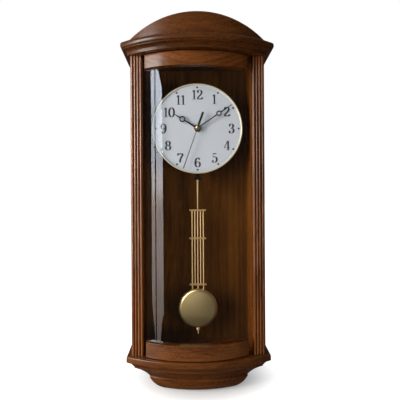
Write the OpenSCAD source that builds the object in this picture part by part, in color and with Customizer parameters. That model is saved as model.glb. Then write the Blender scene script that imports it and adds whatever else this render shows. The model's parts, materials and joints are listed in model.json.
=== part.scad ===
// Wall clock with a bowed glass door, a pendulum and a radio-controlled movement.
// The wall is the plane y = 0, the front faces -y, and the origin is the hanging hole.

/* [Case] */
// Width over the outer faces of the two sides
case_w = 239; // [220:1:260]
// Height of the sides, from the base plate to the cornice
body_h = 534; // [500:1:600]
// Distance from the wall to the front of the reeds
body_d = 99; // [94:1:108]
// Thickness of a side board
side_t = 21; // [14:0.5:21]
// Depth that the back edge of a side is rebated for the backboard
rebate_w = 6; // [4:0.5:8]
// Thickness of the backboard
back_t = 10; // [8.5:0.5:12]
// Distance from the wall to the back of the backboard
back_gap = 2; // [1.5:0.1:3]
// Height of the hanging hole below the cornice
hanger_drop = 42; // [34:1:60]

/* [Columns] */
// Width of a reeded column
column_w = 21.4; // [20:0.2:26]
// Depth of a reeded column, reeds included
column_d = 15; // [12:0.5:18]
// Number of reeds on a column
reed_count = 4; // [2:1:6]
// Radius of a reed
reed_r = 2.2; // [1.6:0.1:2.4]

/* [Cornice] */
// Width over the cornice
cornice_w = 272; // [266:1:290]
// Distance from the wall to the front of the cornice at its middle
cornice_d = 152; // [149:1:156]
// Depth by which the front of the cornice falls back at its corners
cornice_sag = 48; // [45:1:50]
// Height of the rounded top band
band_h = 10; // [8:0.5:14]
// Height of the bead under the band
bead_h = 2; // [1.5:0.1:3]
// Height and depth of the cove under the bead
cove_h = 6; // [5:0.5:9]
// Height of the lip under the cove
lip_h = 3.4; // [2.5:0.1:5]
// Width of the wood of the cornice frame, from its front to its inner edge
cornice_frame_w = 42; // [38:1:46]
// Thickness of the board that closes the case at the top
top_t = 10; // [8:1:12]

/* [Crown] */
// Width of the crown
crown_w = 247; // [236:1:252]
// Height of the crown at its ends
crown_end_h = 5; // [4:0.5:12]
// Height of the crown at its middle
crown_h = 40.4; // [34:0.2:60]
// Depth by which the crown stands back from the cornice
crown_setback = 15; // [12:1:18]
// Thickness of the crown's face board
crown_face_t = 12; // [9:1:16]
// Thickness of the bent roof and of the crown's back
roof_t = 4; // [3:0.5:5]

/* [Base] */
// Width over the base plate
base_w = 258; // [252:1:266]
// Distance from the wall to the front of the base plate at its middle
base_d = 134; // [130:1:137]
// Depth by which the front of the base plate falls back at its corners
base_sag = 36; // [34:1:38]
// Thickness of the base plate
plate_t = 12; // [9:0.5:14]
// Height of the cove tier
tier_cove_h = 9.5; // [7.5:0.5:13]
// Height of the sloping tier
tier_slope_h = 23.5; // [18:0.5:30]
// Height of the rounded foot tier
foot_h = 29; // [23:1:35]

/* [Door] */
// Width of the door
door_w = 182; // [176:1:184]
// Distance that the door stands left of the middle
door_shift = 2.5; // [0:0.5:2.5]
// Distance from the wall to the front of the door at its middle
door_d = 130; // [128:1:133]
// Depth by which the front of the door falls back at its ends
door_sag = 25; // [23:0.5:27]
// Thickness of a door rail
rail_t = 18; // [16:0.5:19]
// Height of the top rail
top_rail_h = 24; // [20:1:34]
// Height of the bottom rail
bottom_rail_h = 26; // [22:1:40]
// Free height between a rail and the case
door_gap = 1.2; // [1:0.1:2]
// Thickness of the curved glass
glass_t = 2.5; // [2:0.1:3]
// Depth by which the glass is let into a rail
glass_seat = 8; // [6:0.5:9]
// Distance from the front of a rail to the glass
glass_set = 7; // [5:0.5:8]
// Radius of a pivot pin of the door
door_pin_r = 2; // [1.5:0.1:2.4]
// Distance of the pivot from the end of the rail
pivot_inset = 8; // [7:0.5:10]

/* [Dial] */
// Distance of the dial's centre below the cornice
dial_drop = 125.5; // [115:0.5:150]
// Distance from the wall to the face of the dial
dial_out = 74; // [72:0.5:76]
// Diameter over the bezel
bezel_d = 165.6; // [158:0.2:172]
// Width of the bezel's lip
bezel_lip = 3; // [2:0.2:4]
// Thickness of the dial plate
dial_t = 1.5; // [1:0.1:2]
// Thickness of the board behind the dial
dial_board_t = 6; // [5:0.5:7]
// Thickness of a cheek that carries the dial board
cheek_t = 8; // [7:0.5:10]

/* [Hands] */
// Length of the minute hand
minute_len = 76; // [60:1:77]
// Length of the hour hand
hour_len = 48; // [40:1:58]
// Length of the second hand
second_len = 78; // [60:1:78]
// Angle of the minute hand, clockwise from twelve
minute_at = 55.7; // [0:0.1:360]
// Angle of the hour hand, clockwise from twelve
hour_at = 301.2; // [0:0.1:360]
// Angle of the second hand, clockwise from twelve
second_at = 199.5; // [0:0.1:360]

/* [Movement] */
// Width of the movement
move_w = 60; // [59:0.5:66]
// Height of the movement above the hands' centre
move_up = 30; // [29:0.5:36]
// Height of the movement below the hands' centre
move_down = 70; // [69:1:76]
// Depth of the movement
move_t = 20; // [19.6:0.1:21]
// Wall thickness of the movement's mouldings
move_wall = 1.6; // [1.2:0.1:1.8]
// Module of the wheels
gear_module = 0.5; // [0.46:0.01:0.5]

/* [Pendulum] */
// Distance of the pendulum's pivot below the hands' centre
pivot_drop = 40; // [39:0.5:42]
// Distance from the pivot to the hook peg
hook_drop = 51; // [48:0.5:60]
// Distance from the pivot to the top crossbar
bar_1_drop = 111; // [95:1:120]
// Distance from the pivot to the middle crossbar
bar_2_drop = 165; // [140:1:190]
// Distance from the pivot to the bottom crossbar
bar_3_drop = 253.5; // [220:0.5:255]
// Distance from the pivot to the bob's centre
bob_drop = 298.5; // [296:0.5:310]
// Diameter of the bob
bob_d = 75; // [60:1:78]
// Thickness of the bob
bob_t = 15; // [12:0.5:18]
// Width of a crossbar
bar_w = 32; // [30:0.5:36]
// Distance between neighbouring rods
rod_pitch = 5.35; // [4.5:0.05:6]
// Radius of a rod
rod_r = 1; // [0.8:0.05:1.2]

/* [Fits] */
// Radial clearance of a turning fit
run_fit = 0.05; // [0.03:0.01:0.08]
// Free distance between neighbouring moving pieces
air = 0.4; // [0.35:0.05:0.5]

/* [Hidden] */
$fn = 64;
// A cut starts or ends this far outside what it cuts
over = 1;

// Colours
walnut = "#6b3d22";
walnut_dark = "#4a2a18";
veneer = "#3a2412";
brass = "#b8964f";
steel = "#b4b6b8";
black = "#1c1c1e";

// Heights of the case, measured from the hanging hole
cornice_z = hanger_drop;
base_z = cornice_z - body_h;
cornice_h = band_h + bead_h + cove_h + lip_h;
crown_z = cornice_z + cornice_h;
dial_z = cornice_z - dial_drop;
pivot_z = dial_z - pivot_drop;

// Case in plan
half = case_w / 2;
column_in = half - column_w;
side_in = half - side_t;
side_front = body_d - column_d;
back_front = back_gap + back_t;
back_half = side_in + rebate_w;
column_edge = 0.5;
// Depth by which a flute cuts into the reeds beside it
flute_lap = 0.6;

// Bow of the cornice and crown, of the base and of the door
function bow_radius(half_w, sag) = (half_w * half_w + sag * sag) / (2 * sag);
cornice_r = bow_radius(cornice_w / 2, cornice_sag);
base_r = bow_radius(base_w / 2, base_sag);
door_r = bow_radius(door_w / 2, door_sag);
crown_r = cornice_r - crown_setback;

// Door
door_mid_x = -door_shift;
door_right = door_mid_x + door_w / 2;
door_left = door_mid_x - door_w / 2;
door_top = cornice_z - door_gap;
door_bottom = base_z + door_gap;
glass_r = door_r - glass_set;
bead_out_r = glass_r - glass_t;
bead_set = 3;
bead_in_r = door_r - rail_t + bead_set;
pivot_x = door_right - pivot_inset;
// Middle of the rail's thickness where the pivot stands
pivot_y = door_r - door_d - sqrt(pow(door_r - rail_t / 2, 2) - pow(pivot_x - door_mid_x, 2));
door_pin_in = 12;
door_pin_out = 6;
bush_len = 8;
bush_r = door_pin_r + 1.6;
bush_flange_r = bush_r + 1.4;
bush_flange_t = door_gap - air;

// Magnet catch, on the bow of the door near its free end
catch_angle = -25.5;
strike_w = 16;
strike_h = 12;
strike_t = 1.2;
catch_w = 22;
catch_h = 15;
catch_len = 12;
catch_magnet_r = 4;
catch_magnet_len = 8;
catch_face_r = door_r - rail_t - air;
catch_mid_z = base_z + catch_h / 2;

// Hanger plate with its keyhole
hanger_hole_r = 4.5;
hanger_slot_r = 2.2;
hanger_slot_up = 9;
hanger_plate_w = 46;
hanger_plate_h = 30;
hanger_plate_r = 4;
// Room round the keyhole for the head of the wall screw
hanger_pocket_deep = 6;
head_room = 2;
shank_room = 1;

// Countersunk wood screws
screw_r = 1.5;
screw_head_r = 3;
screw_head_h = 1.6;
screw_len = 16;
// Wood left in front of the tip of a hanger screw
screw_tip_room = 2;
back_screw_inset = 30;
hanger_screw_x = 17;
back_screw_x = (side_in + back_half) / 2;
back_screw_z = [
    cornice_z - back_screw_inset, (cornice_z + base_z) / 2, base_z + back_screw_inset];

// Dial and its mount, as distances out from the wall
dial_back = dial_out - dial_t;
board_back = dial_back - dial_board_t;
cheek_h = 112;
// Free width beside the movement, to a cheek and to the edge of the service opening
cheek_gap = 14;
service_gap = 12;
cheek_in = move_w / 2 + cheek_gap;
board_half = cheek_in + cheek_t;
board_r = 6;
service_up = 48;
service_down = 62;
service_r = 14;
bezel_r = bezel_d / 2;
bezel_wall = 2;
bezel_edge = 1;
bezel_front = 2.5;
dial_r = bezel_r - bezel_wall;
mount_screw_z = 38;

// Movement, as distances out from the wall
case_front = board_back;
case_back = case_front - move_t;
inner_front = case_front - move_wall;
inner_back = case_back + move_wall;
case_in = move_w / 2 - move_wall;
move_r = 3;

// Arbors and pipes, radii from the middle outwards
second_r = 0.75;
minute_bore_r = second_r + run_fit;
minute_pipe_r = 1.75;
hour_bore_r = minute_pipe_r + run_fit;
hour_pipe_r = 2.55;
bush_bore_r = hour_pipe_r + run_fit;
centre_bush_r = 4;
centre_flange_r = 5.5;
centre_flange_t = 0.6;
nut_across = 12;
nut_t = 2.6;

// Hands, as distances out from the wall
hand_t = 0.7;
second_hand_t = 0.5;
// Length that a bush, a pipe and the second arbor stand out of what sits on them
bush_proud = 0.6;
pipe_proud = 0.2;
cap_seat = 0.6;
// Free distance between the bush and the hour hand, and between one hand and the next
hour_gap = 0.8;
hand_gap = 1.2;
bush_end = dial_out + nut_t + bush_proud;
hour_hand_back = bush_end + hour_gap;
hour_pipe_end = hour_hand_back + hand_t + pipe_proud;
minute_hand_back = hour_pipe_end + hand_gap;
minute_pipe_end = minute_hand_back + hand_t + pipe_proud;
second_hand_back = minute_pipe_end + hand_gap;
second_arbor_end = second_hand_back + second_hand_t + cap_seat;
// Rings, hubs and roots of the two broad hands
minute_ring_at = 47.5;
minute_ring_r = 4.6;
minute_ring_w = 1.2;
minute_root_w = 2;
minute_hub_r = 4.4;
hour_ring_at = 32.2;
hour_ring_r = 5.3;
hour_ring_w = 1.4;
hour_root_w = 2.6;
hour_hub_r = 5;
hand_tip_w = 0.3;
// Second hand: hub, needle, neck and counterweight
second_hub_r = 3.2;
second_root_w = 1;
second_tip_w = 0.5;
tail_w = 2.7;
tail_start = 5.5;
tail_end = 30;
neck_w = 1.1;
cap_r = 4.8;
cap_h = 3;

// Wheels, as teeth and as distances out from the wall
minute_teeth = 10;
motion_teeth = 30;
motion_pinion_teeth = 8;
hour_teeth = 32;
motion_x = gear_module * (minute_teeth + motion_teeth) / 2;
wheel_t = 1.4;
hour_wheel_back = inner_front - centre_flange_t - air - wheel_t;
motion_pinion_gap = 3.2;
motion_wheel_back = hour_wheel_back - motion_pinion_gap - wheel_t;
// A pinion is longer than its wheel is thick, by this much at each end
pinion_spare = 0.4;
minute_pinion_back = motion_wheel_back - pinion_spare;
minute_pinion_len = wheel_t + 2 * pinion_spare;
wheel_gap = 1.2;
centre_wheel_back = minute_pinion_back - wheel_t - wheel_gap;
second_wheel_back = centre_wheel_back - wheel_t - wheel_gap;
motion_post_r = 0.9;
motion_bore_r = motion_post_r + run_fit;
post_proud = 1;

// Cells, board, coils and antenna inside the movement
cell_r = 7.25;
cell_len = 50.5;
cell_z = 17.6;
cell_gap = 0.35;
cell_out = inner_back + cell_r + cell_gap;
cradle_x = 16;
cradle_t = 1.6;
cradle_h = 10;
antenna_cradle_h = 6;
contact_t = 0.6;
contact_w = 10;
contact_boss_r = 2.5;
// Door cut in the back of the movement over a cell
cell_door_h = 12;
cell_door_gap = 1;
antenna_z = -33;
antenna_r = 4;
antenna_gap = 2;
antenna_len = 2 * (case_in - antenna_gap);
winding_r = 5.2;
winding_len = 22;
antenna_drop = 8;
antenna_out = inner_front - antenna_drop;
coil_z = -58;
coil_core_r = 3;
coil_out_r = 8;
coil_gap = 1;
coil_len = 6;
coil_post_r = 5;
coil_seat = inner_back + coil_gap + coil_len;
board_x = -19;
pcb_w = 14;
pcb_h = 15;
pcb_t = 1.2;
switch_h = 2.2;
switch_half = 2;
pcb_drop = 5.9;
pcb_back = inner_back + pcb_drop;
pcb_post_r = 1.2;
pcb_post_z = 5;
pcb_post_in = 3;
coil_2_x = 23.5;
motor_coil_r = 3;
motor_coil_len = 12;
motor_flange_t = 1;
motor_flange_lap = 0.4;
motor_stand = 1;
motor_back = 3;

// Buttons
button_r = 2;
button_flange_r = 2.8;
button_travel = 1;
button_x = [-16, -23];
button_proud = 1;
button_flange_t = 1;
// Bearing of the arbors and boss of the pendulum's pin, inside the movement's back
minute_boss_h = 1.2;
minute_boss_r = 2.4;
foot_seat = 0.8;
pin_boss_floor = 1;
pin_boss_r = 3;

// Pendulum, as distances out from the wall
arm_t = 3;
arm_gap = 0.6;
arm_out = case_back - arm_gap - arm_t;
pin_r = 1;
pin_head_r = 2.2;
pin_head_h = 0.8;
pin_seat = 2;
arm_boss_r = 4;
arm_w = 8;
arm_foot_w = 14.6;
arm_foot_h = 4;
magnet_r = 4.5;
magnet_t = 2;
magnet_rim = 2;
stem_w = 3;
stem_t = 1;
peg_r = 1.2;
hook_r = 3.2;
pend_y = arm_out - stem_t / 2;
bar_h = 3;
bar_t = 3.6;
thread_end = 11;
nut_r = 4;
rating_nut_h = 3.5;
rod_seat = 3.5;
notch_gap = 0.15;
// Width of the bob's rolled shoulder, rise of the dome inside it, the sheet and the weight
bob_shoulder = 7;
bob_crown = 1.3;
shell_t = 0.8;
core_gap = 0.1;
core_back_in = 2;

// Points of an arc, from angle a0 to angle a1
function arc_points(centre, r, a0, a1, steps) =
    [for (i = [0 : steps]) let (a = a0 + (a1 - a0) * i / steps)
        [centre[0] + r * cos(a), centre[1] + r * sin(a)]];

// Moves children that stand on the xy plane so that they grow out from the wall
module outward(out, x = 0, z = 0) {
    translate([x, -out, z]) rotate([90, 0, 0]) children();
}

// Rectangle with round corners, between two heights
module soft_rectangle(half_w, low, high, r) {
    for (x = [r - half_w, half_w - r], z = [low + r, high - r]) translate([x, z]) circle(r);
    translate([-half_w, low + r]) square([2 * half_w, high - low - 2 * r]);
    translate([r - half_w, low]) square([2 * (half_w - r), high - low]);
}

// Places children on a bow, where -y points outward and the origin is the bow's surface
module on_bow(radius, front, mid_x, angle) {
    translate([mid_x, radius - front, 0]) rotate([0, 0, angle]) translate([0, -radius, 0])
        children();
}

// Solid whose front follows a bow and whose ends stand square to the wall.
// inset holds [inward offset, height] pairs of the front from the top down, and
// side_inset the same of the two ends.
module bowed_block(radius, front, half_w, inset, side_inset) {
    last = len(inset) - 1;
    intersection() {
        translate([0, radius - front, 0]) rotate_extrude($fn = 180)
            polygon(concat(
                [[0, inset[0][1]]],
                [for (p = inset) [radius - p[0], p[1]]],
                [[0, inset[last][1]]]));
        outward(0) linear_extrude(front + over)
            polygon(concat(
                [for (p = side_inset) [half_w - p[0], p[1]]],
                [for (i = [len(side_inset) - 1 : -1 : 0])
                    [side_inset[i][0] - half_w, side_inset[i][1]]]));
    }
}

// Ring sector of a bow, between two radii and two heights, cut square at both ends
module bow_band(outer_r, inner_r, full_r, front, mid_x, half_w, z0, z1) {
    intersection() {
        translate([mid_x, full_r - front, z0]) difference() {
            cylinder(h = z1 - z0, r = outer_r, $fn = 180);
            translate([0, 0, -over]) cylinder(h = z1 - z0 + 2 * over, r = inner_r, $fn = 180);
        }
        translate([mid_x - half_w, -front - over, z0 - over])
            cube([2 * half_w, front + over, z1 - z0 + 2 * over]);
    }
}

// Screw along -y whose head lies flush in the plane at the given distance from the wall
module screw_at(x, out, z) {
    outward(out, x, z) {
        cylinder(h = screw_head_h, r1 = screw_head_r, r2 = screw_r, $fn = 48);
        cylinder(h = screw_len, r = screw_r, $fn = 48);
    }
}

module back_screws() {
    for (side = [-1, 1], z = back_screw_z) screw_at(side * back_screw_x, back_gap, z);
}

module mount_screws() {
    for (side = [-1, 1], z = [-mount_screw_z, mount_screw_z])
        screw_at(side * (cheek_in + cheek_t / 2), back_gap, dial_z + z);
}

module hanger_screws() {
    for (side = [-1, 1]) outward(0, side * hanger_screw_x, hanger_slot_up / 2) {
        cylinder(h = screw_head_h, r1 = screw_head_r, r2 = screw_r, $fn = 48);
        cylinder(h = back_front - screw_tip_room, r = screw_r, $fn = 48);
    }
}

// Case

module backboard() {
    color(veneer) difference() {
        translate([-back_half, -back_front, base_z]) cube([2 * back_half, back_t, body_h]);
        outward(0, 0, dial_z) linear_extrude(back_front + over) service_outline();
        outward(0) {
            cylinder(h = back_gap + hanger_pocket_deep, r = hanger_hole_r + head_room);
            translate([0, hanger_slot_up, 0])
                cylinder(h = back_gap + hanger_pocket_deep, r = hanger_hole_r + shank_room);
            translate([-hanger_hole_r - shank_room, 0, 0])
                cube([2 * (hanger_hole_r + shank_room), hanger_slot_up, back_gap + hanger_pocket_deep]);
        }
        back_screws();
        mount_screws();
        hanger_screws();
    }
}

// Opening behind the movement, for its cells and buttons
module service_outline() {
    soft_rectangle(move_w / 2 + service_gap, -service_down, service_up, service_r);
}

module side_board() {
    difference() {
        translate([side_in, -side_front, base_z]) cube([side_t, side_front, body_h]);
        translate([side_in - over, -back_front, base_z - over])
            cube([rebate_w + over, back_front + over, body_h + 2 * over]);
        back_screws();
    }
}

module left_side() {
    color(walnut) mirror([1, 0, 0]) side_board();
}

module right_side() {
    color(walnut) side_board();
}

// Reeded column: half-round reeds between shallow flutes on a flat pilaster
module column() {
    pitch = (column_w - 2 * column_edge) / reed_count;
    reed_y = -(body_d - reed_r);
    first = column_in + column_edge;
    translate([0, 0, base_z]) linear_extrude(body_h) {
        difference() {
            translate([column_in, reed_y]) square([column_w, column_d - reed_r]);
            for (i = [1 : reed_count - 1])
                translate([first + i * pitch, reed_y]) circle(pitch / 2 - reed_r + flute_lap);
        }
        for (i = [0 : reed_count - 1])
            translate([first + (i + 0.5) * pitch, reed_y]) circle(reed_r);
    }
}

module left_column() {
    color(walnut) mirror([1, 0, 0]) column();
}

module right_column() {
    color(walnut) column();
}

// Outline of the cornice from the top down: round band, quirk, bead, cove and lip
band_round = 2.4;
quirk_in = 4;
cove_reach = 8.5;
lip_out = 1.5;
lip_in = quirk_in + cove_reach - lip_out;
band_low = crown_z - band_h;
cove_top = band_low - bead_h;
cornice_inset = concat(
    [for (p = arc_points([0, 0], 1, 90, -90, 12))
        [band_round * (1 - p[0]), band_low + band_h * (1 + p[1]) / 2]],
    [for (p = arc_points([0, 0], bead_h / 2, 90, -90, 6))
        [quirk_in - p[0], cove_top + bead_h / 2 + p[1]]],
    [for (p = arc_points([0, 0], 1, 90, 0, 7))
        [quirk_in + cove_reach * p[0], cornice_z + lip_h + cove_h * p[1]]],
    [[lip_in, cornice_z + lip_h], [lip_in, cornice_z]]);

module cornice() {
    color(walnut) difference() {
        bowed_block(cornice_r, cornice_d, cornice_w / 2, cornice_inset, cornice_inset);
        cornice_inside(over);
        top_bush_hole();
    }
}

// Space inside the cornice frame
module cornice_inside(grow) {
    translate([0, 0, cornice_z - grow]) linear_extrude(cornice_h + 2 * grow) intersection() {
        translate([0, cornice_r - cornice_d]) circle(cornice_r - cornice_frame_w, $fn = 180);
        translate([-column_in, -cornice_d]) square([2 * column_in, cornice_d + grow]);
    }
}

// Hole over the door for the bush of its upper pin
module top_bush_hole() {
    translate([pivot_x, pivot_y, cornice_z - over]) cylinder(h = over + bush_len, r = bush_r);
}

module top_board() {
    color(walnut_dark) difference() {
        intersection() {
            cornice_inside(0);
            translate([-half, -cornice_d, cornice_z]) cube([case_w, cornice_d, top_t]);
        }
        top_bush_hole();
    }
}

// Face of the crown from the front: an arch between two short upright ends
module crown_outline(inset) {
    half_w = crown_w / 2;
    rise = crown_h - crown_end_h;
    r = bow_radius(half_w, rise);
    intersection() {
        translate([0, crown_h - r]) circle(r - inset, $fn = 240);
        translate([inset - half_w, 0]) square([2 * (half_w - inset), crown_h]);
    }
}

module crown_bow(r) {
    translate([0, cornice_r - cornice_d, crown_z - over])
        cylinder(h = crown_h + 2 * over, r = r, $fn = 180);
}

module crown_face() {
    color(walnut) difference() {
        intersection() {
            outward(0, 0, crown_z) linear_extrude(cornice_d) crown_outline(0);
            crown_bow(crown_r);
        }
        crown_bow(crown_r - crown_face_t);
    }
}

module crown_roof() {
    color(walnut) intersection() {
        outward(0, 0, crown_z) linear_extrude(cornice_d) difference() {
            crown_outline(0);
            crown_outline(roof_t);
        }
        crown_bow(crown_r - crown_face_t);
    }
}

// Closes the crown at the wall, and the cornice below it down to the top board
module crown_back() {
    low = cornice_z + top_t;
    color(walnut_dark) outward(0) linear_extrude(roof_t) {
        translate([0, crown_z]) crown_outline(roof_t);
        translate([-column_in, low]) square([2 * column_in, crown_z - low]);
    }
}

// Base, from the plate down; an inset is how far a point lies in from the plate's edge
plate_low = base_z - plate_t;
cove_low = plate_low - tier_cove_h;
slope_low = cove_low - tier_slope_h;
foot_low = slope_low - foot_h;
plate_top_r = 3;
plate_under_r = 2.5;
nose = concat(
    [for (p = arc_points([0, 0], plate_top_r, 90, 0, 6))
        [plate_top_r - p[0], base_z - plate_top_r + p[1]]],
    [for (p = arc_points([0, 0], plate_under_r, 0, -90, 5))
        [plate_under_r - p[0], plate_low + plate_under_r + p[1]]]);
cove_start_in = plate_under_r + 0.7;
cove_front_in = 13.5;
cove_side_in = 12;
slope_step = 1;
slope_fillet = 2.5;
slope_end_in = 39.5;
foot_lead = 1;
foot_edge_r = 2;
foot_front_in = 63;
foot_side_in = 67;
// Stretches of a quarter round, in degrees, that the hollows and the foot follow
hollow_from = 30;
hollow_to = 60;
foot_from = 25;
foot_to = 70;

// Rounded profile from start to end, each [inset, height], shaped like the stretch of a
// quarter round from angle a0 to angle a1
function round_between(start, end, a0, a1, steps) =
    [for (i = [0 : steps]) let (a = a0 + (a1 - a0) * i / steps)
        [start[0] + (end[0] - start[0]) * (cos(a0) - cos(a)) / (cos(a0) - cos(a1)),
            start[1] + (end[1] - start[1]) * (sin(a) - sin(a0)) / (sin(a1) - sin(a0))]];

// The same, hollow
function hollow_between(start, end, a0, a1, steps) =
    let (p = round_between(end, start, a0, a1, steps)) [for (i = [steps : -1 : 0]) p[i]];

module base_plate() {
    color(walnut) difference() {
        bowed_block(base_r, base_d, base_w / 2, nose, nose);
        translate([pivot_x, pivot_y, base_z - bush_len]) cylinder(h = bush_len + over, r = bush_r);
    }
}

function cove_curve(end_in) = hollow_between(
    [cove_start_in, plate_low], [end_in, cove_low], hollow_from, hollow_to, 6);

module base_cove() {
    color(walnut) bowed_block(base_r, base_d, base_w / 2,
        cove_curve(cove_front_in), cove_curve(cove_side_in));
}

// Short upright fillet with a long shallow hollow below it
function slope_curve(start_in) = concat([[start_in, cove_low]], hollow_between(
    [start_in, cove_low - slope_fillet], [slope_end_in, slope_low], hollow_from, hollow_to, 7));

module base_slope() {
    color(walnut) bowed_block(base_r, base_d, base_w / 2,
        slope_curve(cove_front_in + slope_step), slope_curve(cove_side_in + slope_step));
}

// Foot with a rounded upper edge that bends in to the flat bottom
foot_start_in = slope_end_in - foot_lead;
function foot_curve(end_in) = concat(
    [for (p = arc_points([0, 0], foot_edge_r, 90, 22.5, 3))
        [foot_start_in + foot_edge_r - p[0], slope_low - foot_edge_r + p[1]]],
    round_between([foot_start_in, slope_low - foot_edge_r], [end_in, foot_low],
        foot_from, foot_to, 8));

module base_foot() {
    color(walnut) bowed_block(base_r, base_d, base_w / 2,
        foot_curve(foot_front_in), foot_curve(foot_side_in));
}

module hanger_plate() {
    color(steel) difference() {
        outward(0, 0, hanger_slot_up / 2) linear_extrude(back_gap) soft_rectangle(
            hanger_plate_w / 2, -hanger_plate_h / 2, hanger_plate_h / 2, hanger_plate_r);
        translate([0, over, 0]) outward(0) {
            cylinder(h = back_gap + 2 * over, r = hanger_hole_r);
            translate([0, hanger_slot_up, 0])
                cylinder(h = back_gap + 2 * over, r = hanger_slot_r);
            translate([-hanger_slot_r, 0, 0])
                cube([2 * hanger_slot_r, hanger_slot_up, back_gap + 2 * over]);
        }
        hanger_screws();
    }
}

module wood_screws() {
    color(steel) {
        back_screws();
        mount_screws();
        hanger_screws();
    }
}

// Brass bush that a door pin turns in; it stands on the xy plane and grows down
module bush() {
    rotate_extrude() difference() {
        union() {
            translate([0, -bush_len]) square([bush_r, bush_len]);
            square([bush_flange_r, bush_flange_t]);
        }
        translate([0, -bush_len - over]) square([door_pin_r + run_fit, bush_len + 3 * over]);
    }
}

module pivot_bushes() {
    color(brass) {
        translate([pivot_x, pivot_y, base_z]) bush();
        translate([pivot_x, pivot_y, cornice_z]) mirror([0, 0, 1]) bush();
    }
}

module catch_body() {
    color(black) on_bow(door_r, door_d, door_mid_x, catch_angle) difference() {
        translate([-catch_w / 2, door_r - catch_face_r, base_z])
            cube([catch_w, catch_len, catch_h]);
        catch_magnet_shape();
    }
}

module catch_magnet_shape() {
    translate([0, door_r - catch_face_r, catch_mid_z]) rotate([-90, 0, 0])
        cylinder(h = catch_magnet_len, r = catch_magnet_r);
}

module catch_magnet() {
    color(steel) on_bow(door_r, door_d, door_mid_x, catch_angle) catch_magnet_shape();
}

// Mount of the dial

module mount_cheeks() {
    color(walnut_dark) difference() {
        for (side = [0, 1]) mirror([side, 0, 0])
            translate([cheek_in, -board_back, dial_z - cheek_h / 2])
                cube([cheek_t, board_back - back_front, cheek_h]);
        mount_screws();
    }
}

module dial_board() {
    color(walnut_dark) difference() {
        outward(board_back, 0, dial_z) linear_extrude(dial_board_t)
            soft_rectangle(board_half, -cheek_h / 2, cheek_h / 2, board_r);
        outward(board_back - over, 0, dial_z)
            cylinder(h = dial_board_t + 2 * over, r = centre_bush_r);
    }
}

module dial_plate() {
    color("white") outward(dial_back, 0, dial_z) difference() {
        cylinder(h = dial_t, r = dial_r, $fn = 180);
        translate([0, 0, -over]) cylinder(h = dial_t + 2 * over, r = centre_bush_r);
    }
}

// Bezel: a wall round the dial plate and a rounded lip over its edge
module dial_bezel() {
    lip_in_r = bezel_r - bezel_lip;
    color(brass) outward(dial_back, 0, dial_z) rotate_extrude($fn = 180) union() {
        translate([dial_r, 0]) square([bezel_wall, dial_t + bezel_edge]);
        translate([lip_in_r, dial_t]) square([bezel_lip, bezel_edge]);
        translate([(lip_in_r + bezel_r) / 2, dial_t + bezel_edge]) intersection() {
            circle(bezel_lip / 2, $fn = 48);
            translate([-bezel_lip, 0]) square([2 * bezel_lip, bezel_front - bezel_edge]);
        }
    }
}

// Movement

// Box between two heights above the hands' centre, in front of the plane at out
module move_box(x0, x1, z0, z1, out, deep) {
    outward(out, 0, dial_z) translate([x0, z0, 0]) cube([x1 - x0, z1 - z0, deep]);
}

module movement_case() {
    color(black) difference() {
        union() {
            difference() {
                outward(inner_back, 0, dial_z) linear_extrude(case_front - inner_back)
                    soft_rectangle(move_w / 2, -move_down, move_up, move_r);
                outward(inner_back - over, 0, dial_z)
                    linear_extrude(inner_front - inner_back + over)
                        soft_rectangle(case_in, move_wall - move_down, move_up - move_wall,
                            move_r - move_wall);
            }
            for (x = [-cradle_x, cradle_x], z = [-cell_z, cell_z])
                move_box(x - cradle_t / 2, x + cradle_t / 2, z - cradle_h / 2, z + cradle_h / 2,
                    cell_out, inner_front - cell_out);
            for (x = [-cradle_x, cradle_x])
                move_box(x - cradle_t / 2, x + cradle_t / 2, antenna_z - antenna_cradle_h / 2,
                    antenna_z + antenna_cradle_h / 2, antenna_out, inner_front - antenna_out);
            outward(coil_seat, 0, dial_z + coil_z)
                cylinder(h = inner_front - coil_seat, r = coil_post_r);
            outward(coil_seat - coil_len, 0, dial_z + coil_z)
                cylinder(h = coil_len, r = coil_core_r);
            outward(motion_wheel_back - post_proud, motion_x, dial_z)
                cylinder(h = inner_front - motion_wheel_back + post_proud, r = motion_post_r);
            for (z = [-pcb_post_z, pcb_post_z])
                outward(pcb_back + pcb_t, board_x + pcb_post_in, dial_z + z)
                    cylinder(h = inner_front - pcb_back - pcb_t, r = pcb_post_r);
        }
        outward(inner_front - over, 0, dial_z)
            cylinder(h = move_wall + 2 * over, r = centre_bush_r);
        for (z = [-cell_z, cell_z]) cell(z);
        antenna_core();
    }
}

module cell(z) {
    translate([-cell_len / 2, -cell_out, dial_z + z]) rotate([0, 90, 0])
        cylinder(h = cell_len, r = cell_r);
}

module antenna_core() {
    translate([-antenna_len / 2, -antenna_out, dial_z + antenna_z]) rotate([0, 90, 0])
        cylinder(h = antenna_len, r = antenna_r);
}

module movement_back() {
    color(black) difference() {
        union() {
            outward(case_back, 0, dial_z) linear_extrude(move_wall)
                soft_rectangle(move_w / 2, -move_down, move_up, move_r);
            outward(inner_back, 0, dial_z) cylinder(h = minute_boss_h, r = minute_boss_r);
            outward(inner_back, 0, pivot_z) cylinder(h = pin_seat + pin_boss_floor, r = pin_boss_r);
        }
        for (z = [-cell_z, cell_z])
            move_box(-cell_len / 2 - cell_door_gap, cell_len / 2 + cell_door_gap,
                z - cell_door_h / 2, z + cell_door_h / 2,
                case_back - over, move_wall + 2 * over);
        outward(inner_back - foot_seat, 0, dial_z)
            cylinder(h = foot_seat + minute_boss_h + over, r = minute_bore_r);
        outward(case_back - over, 0, pivot_z)
            cylinder(h = over + move_wall + pin_seat, r = pin_r);
        for (x = button_x) outward(case_back - over, x, dial_z)
            cylinder(h = move_wall + 2 * over, r = button_r + run_fit);
    }
}

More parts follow.
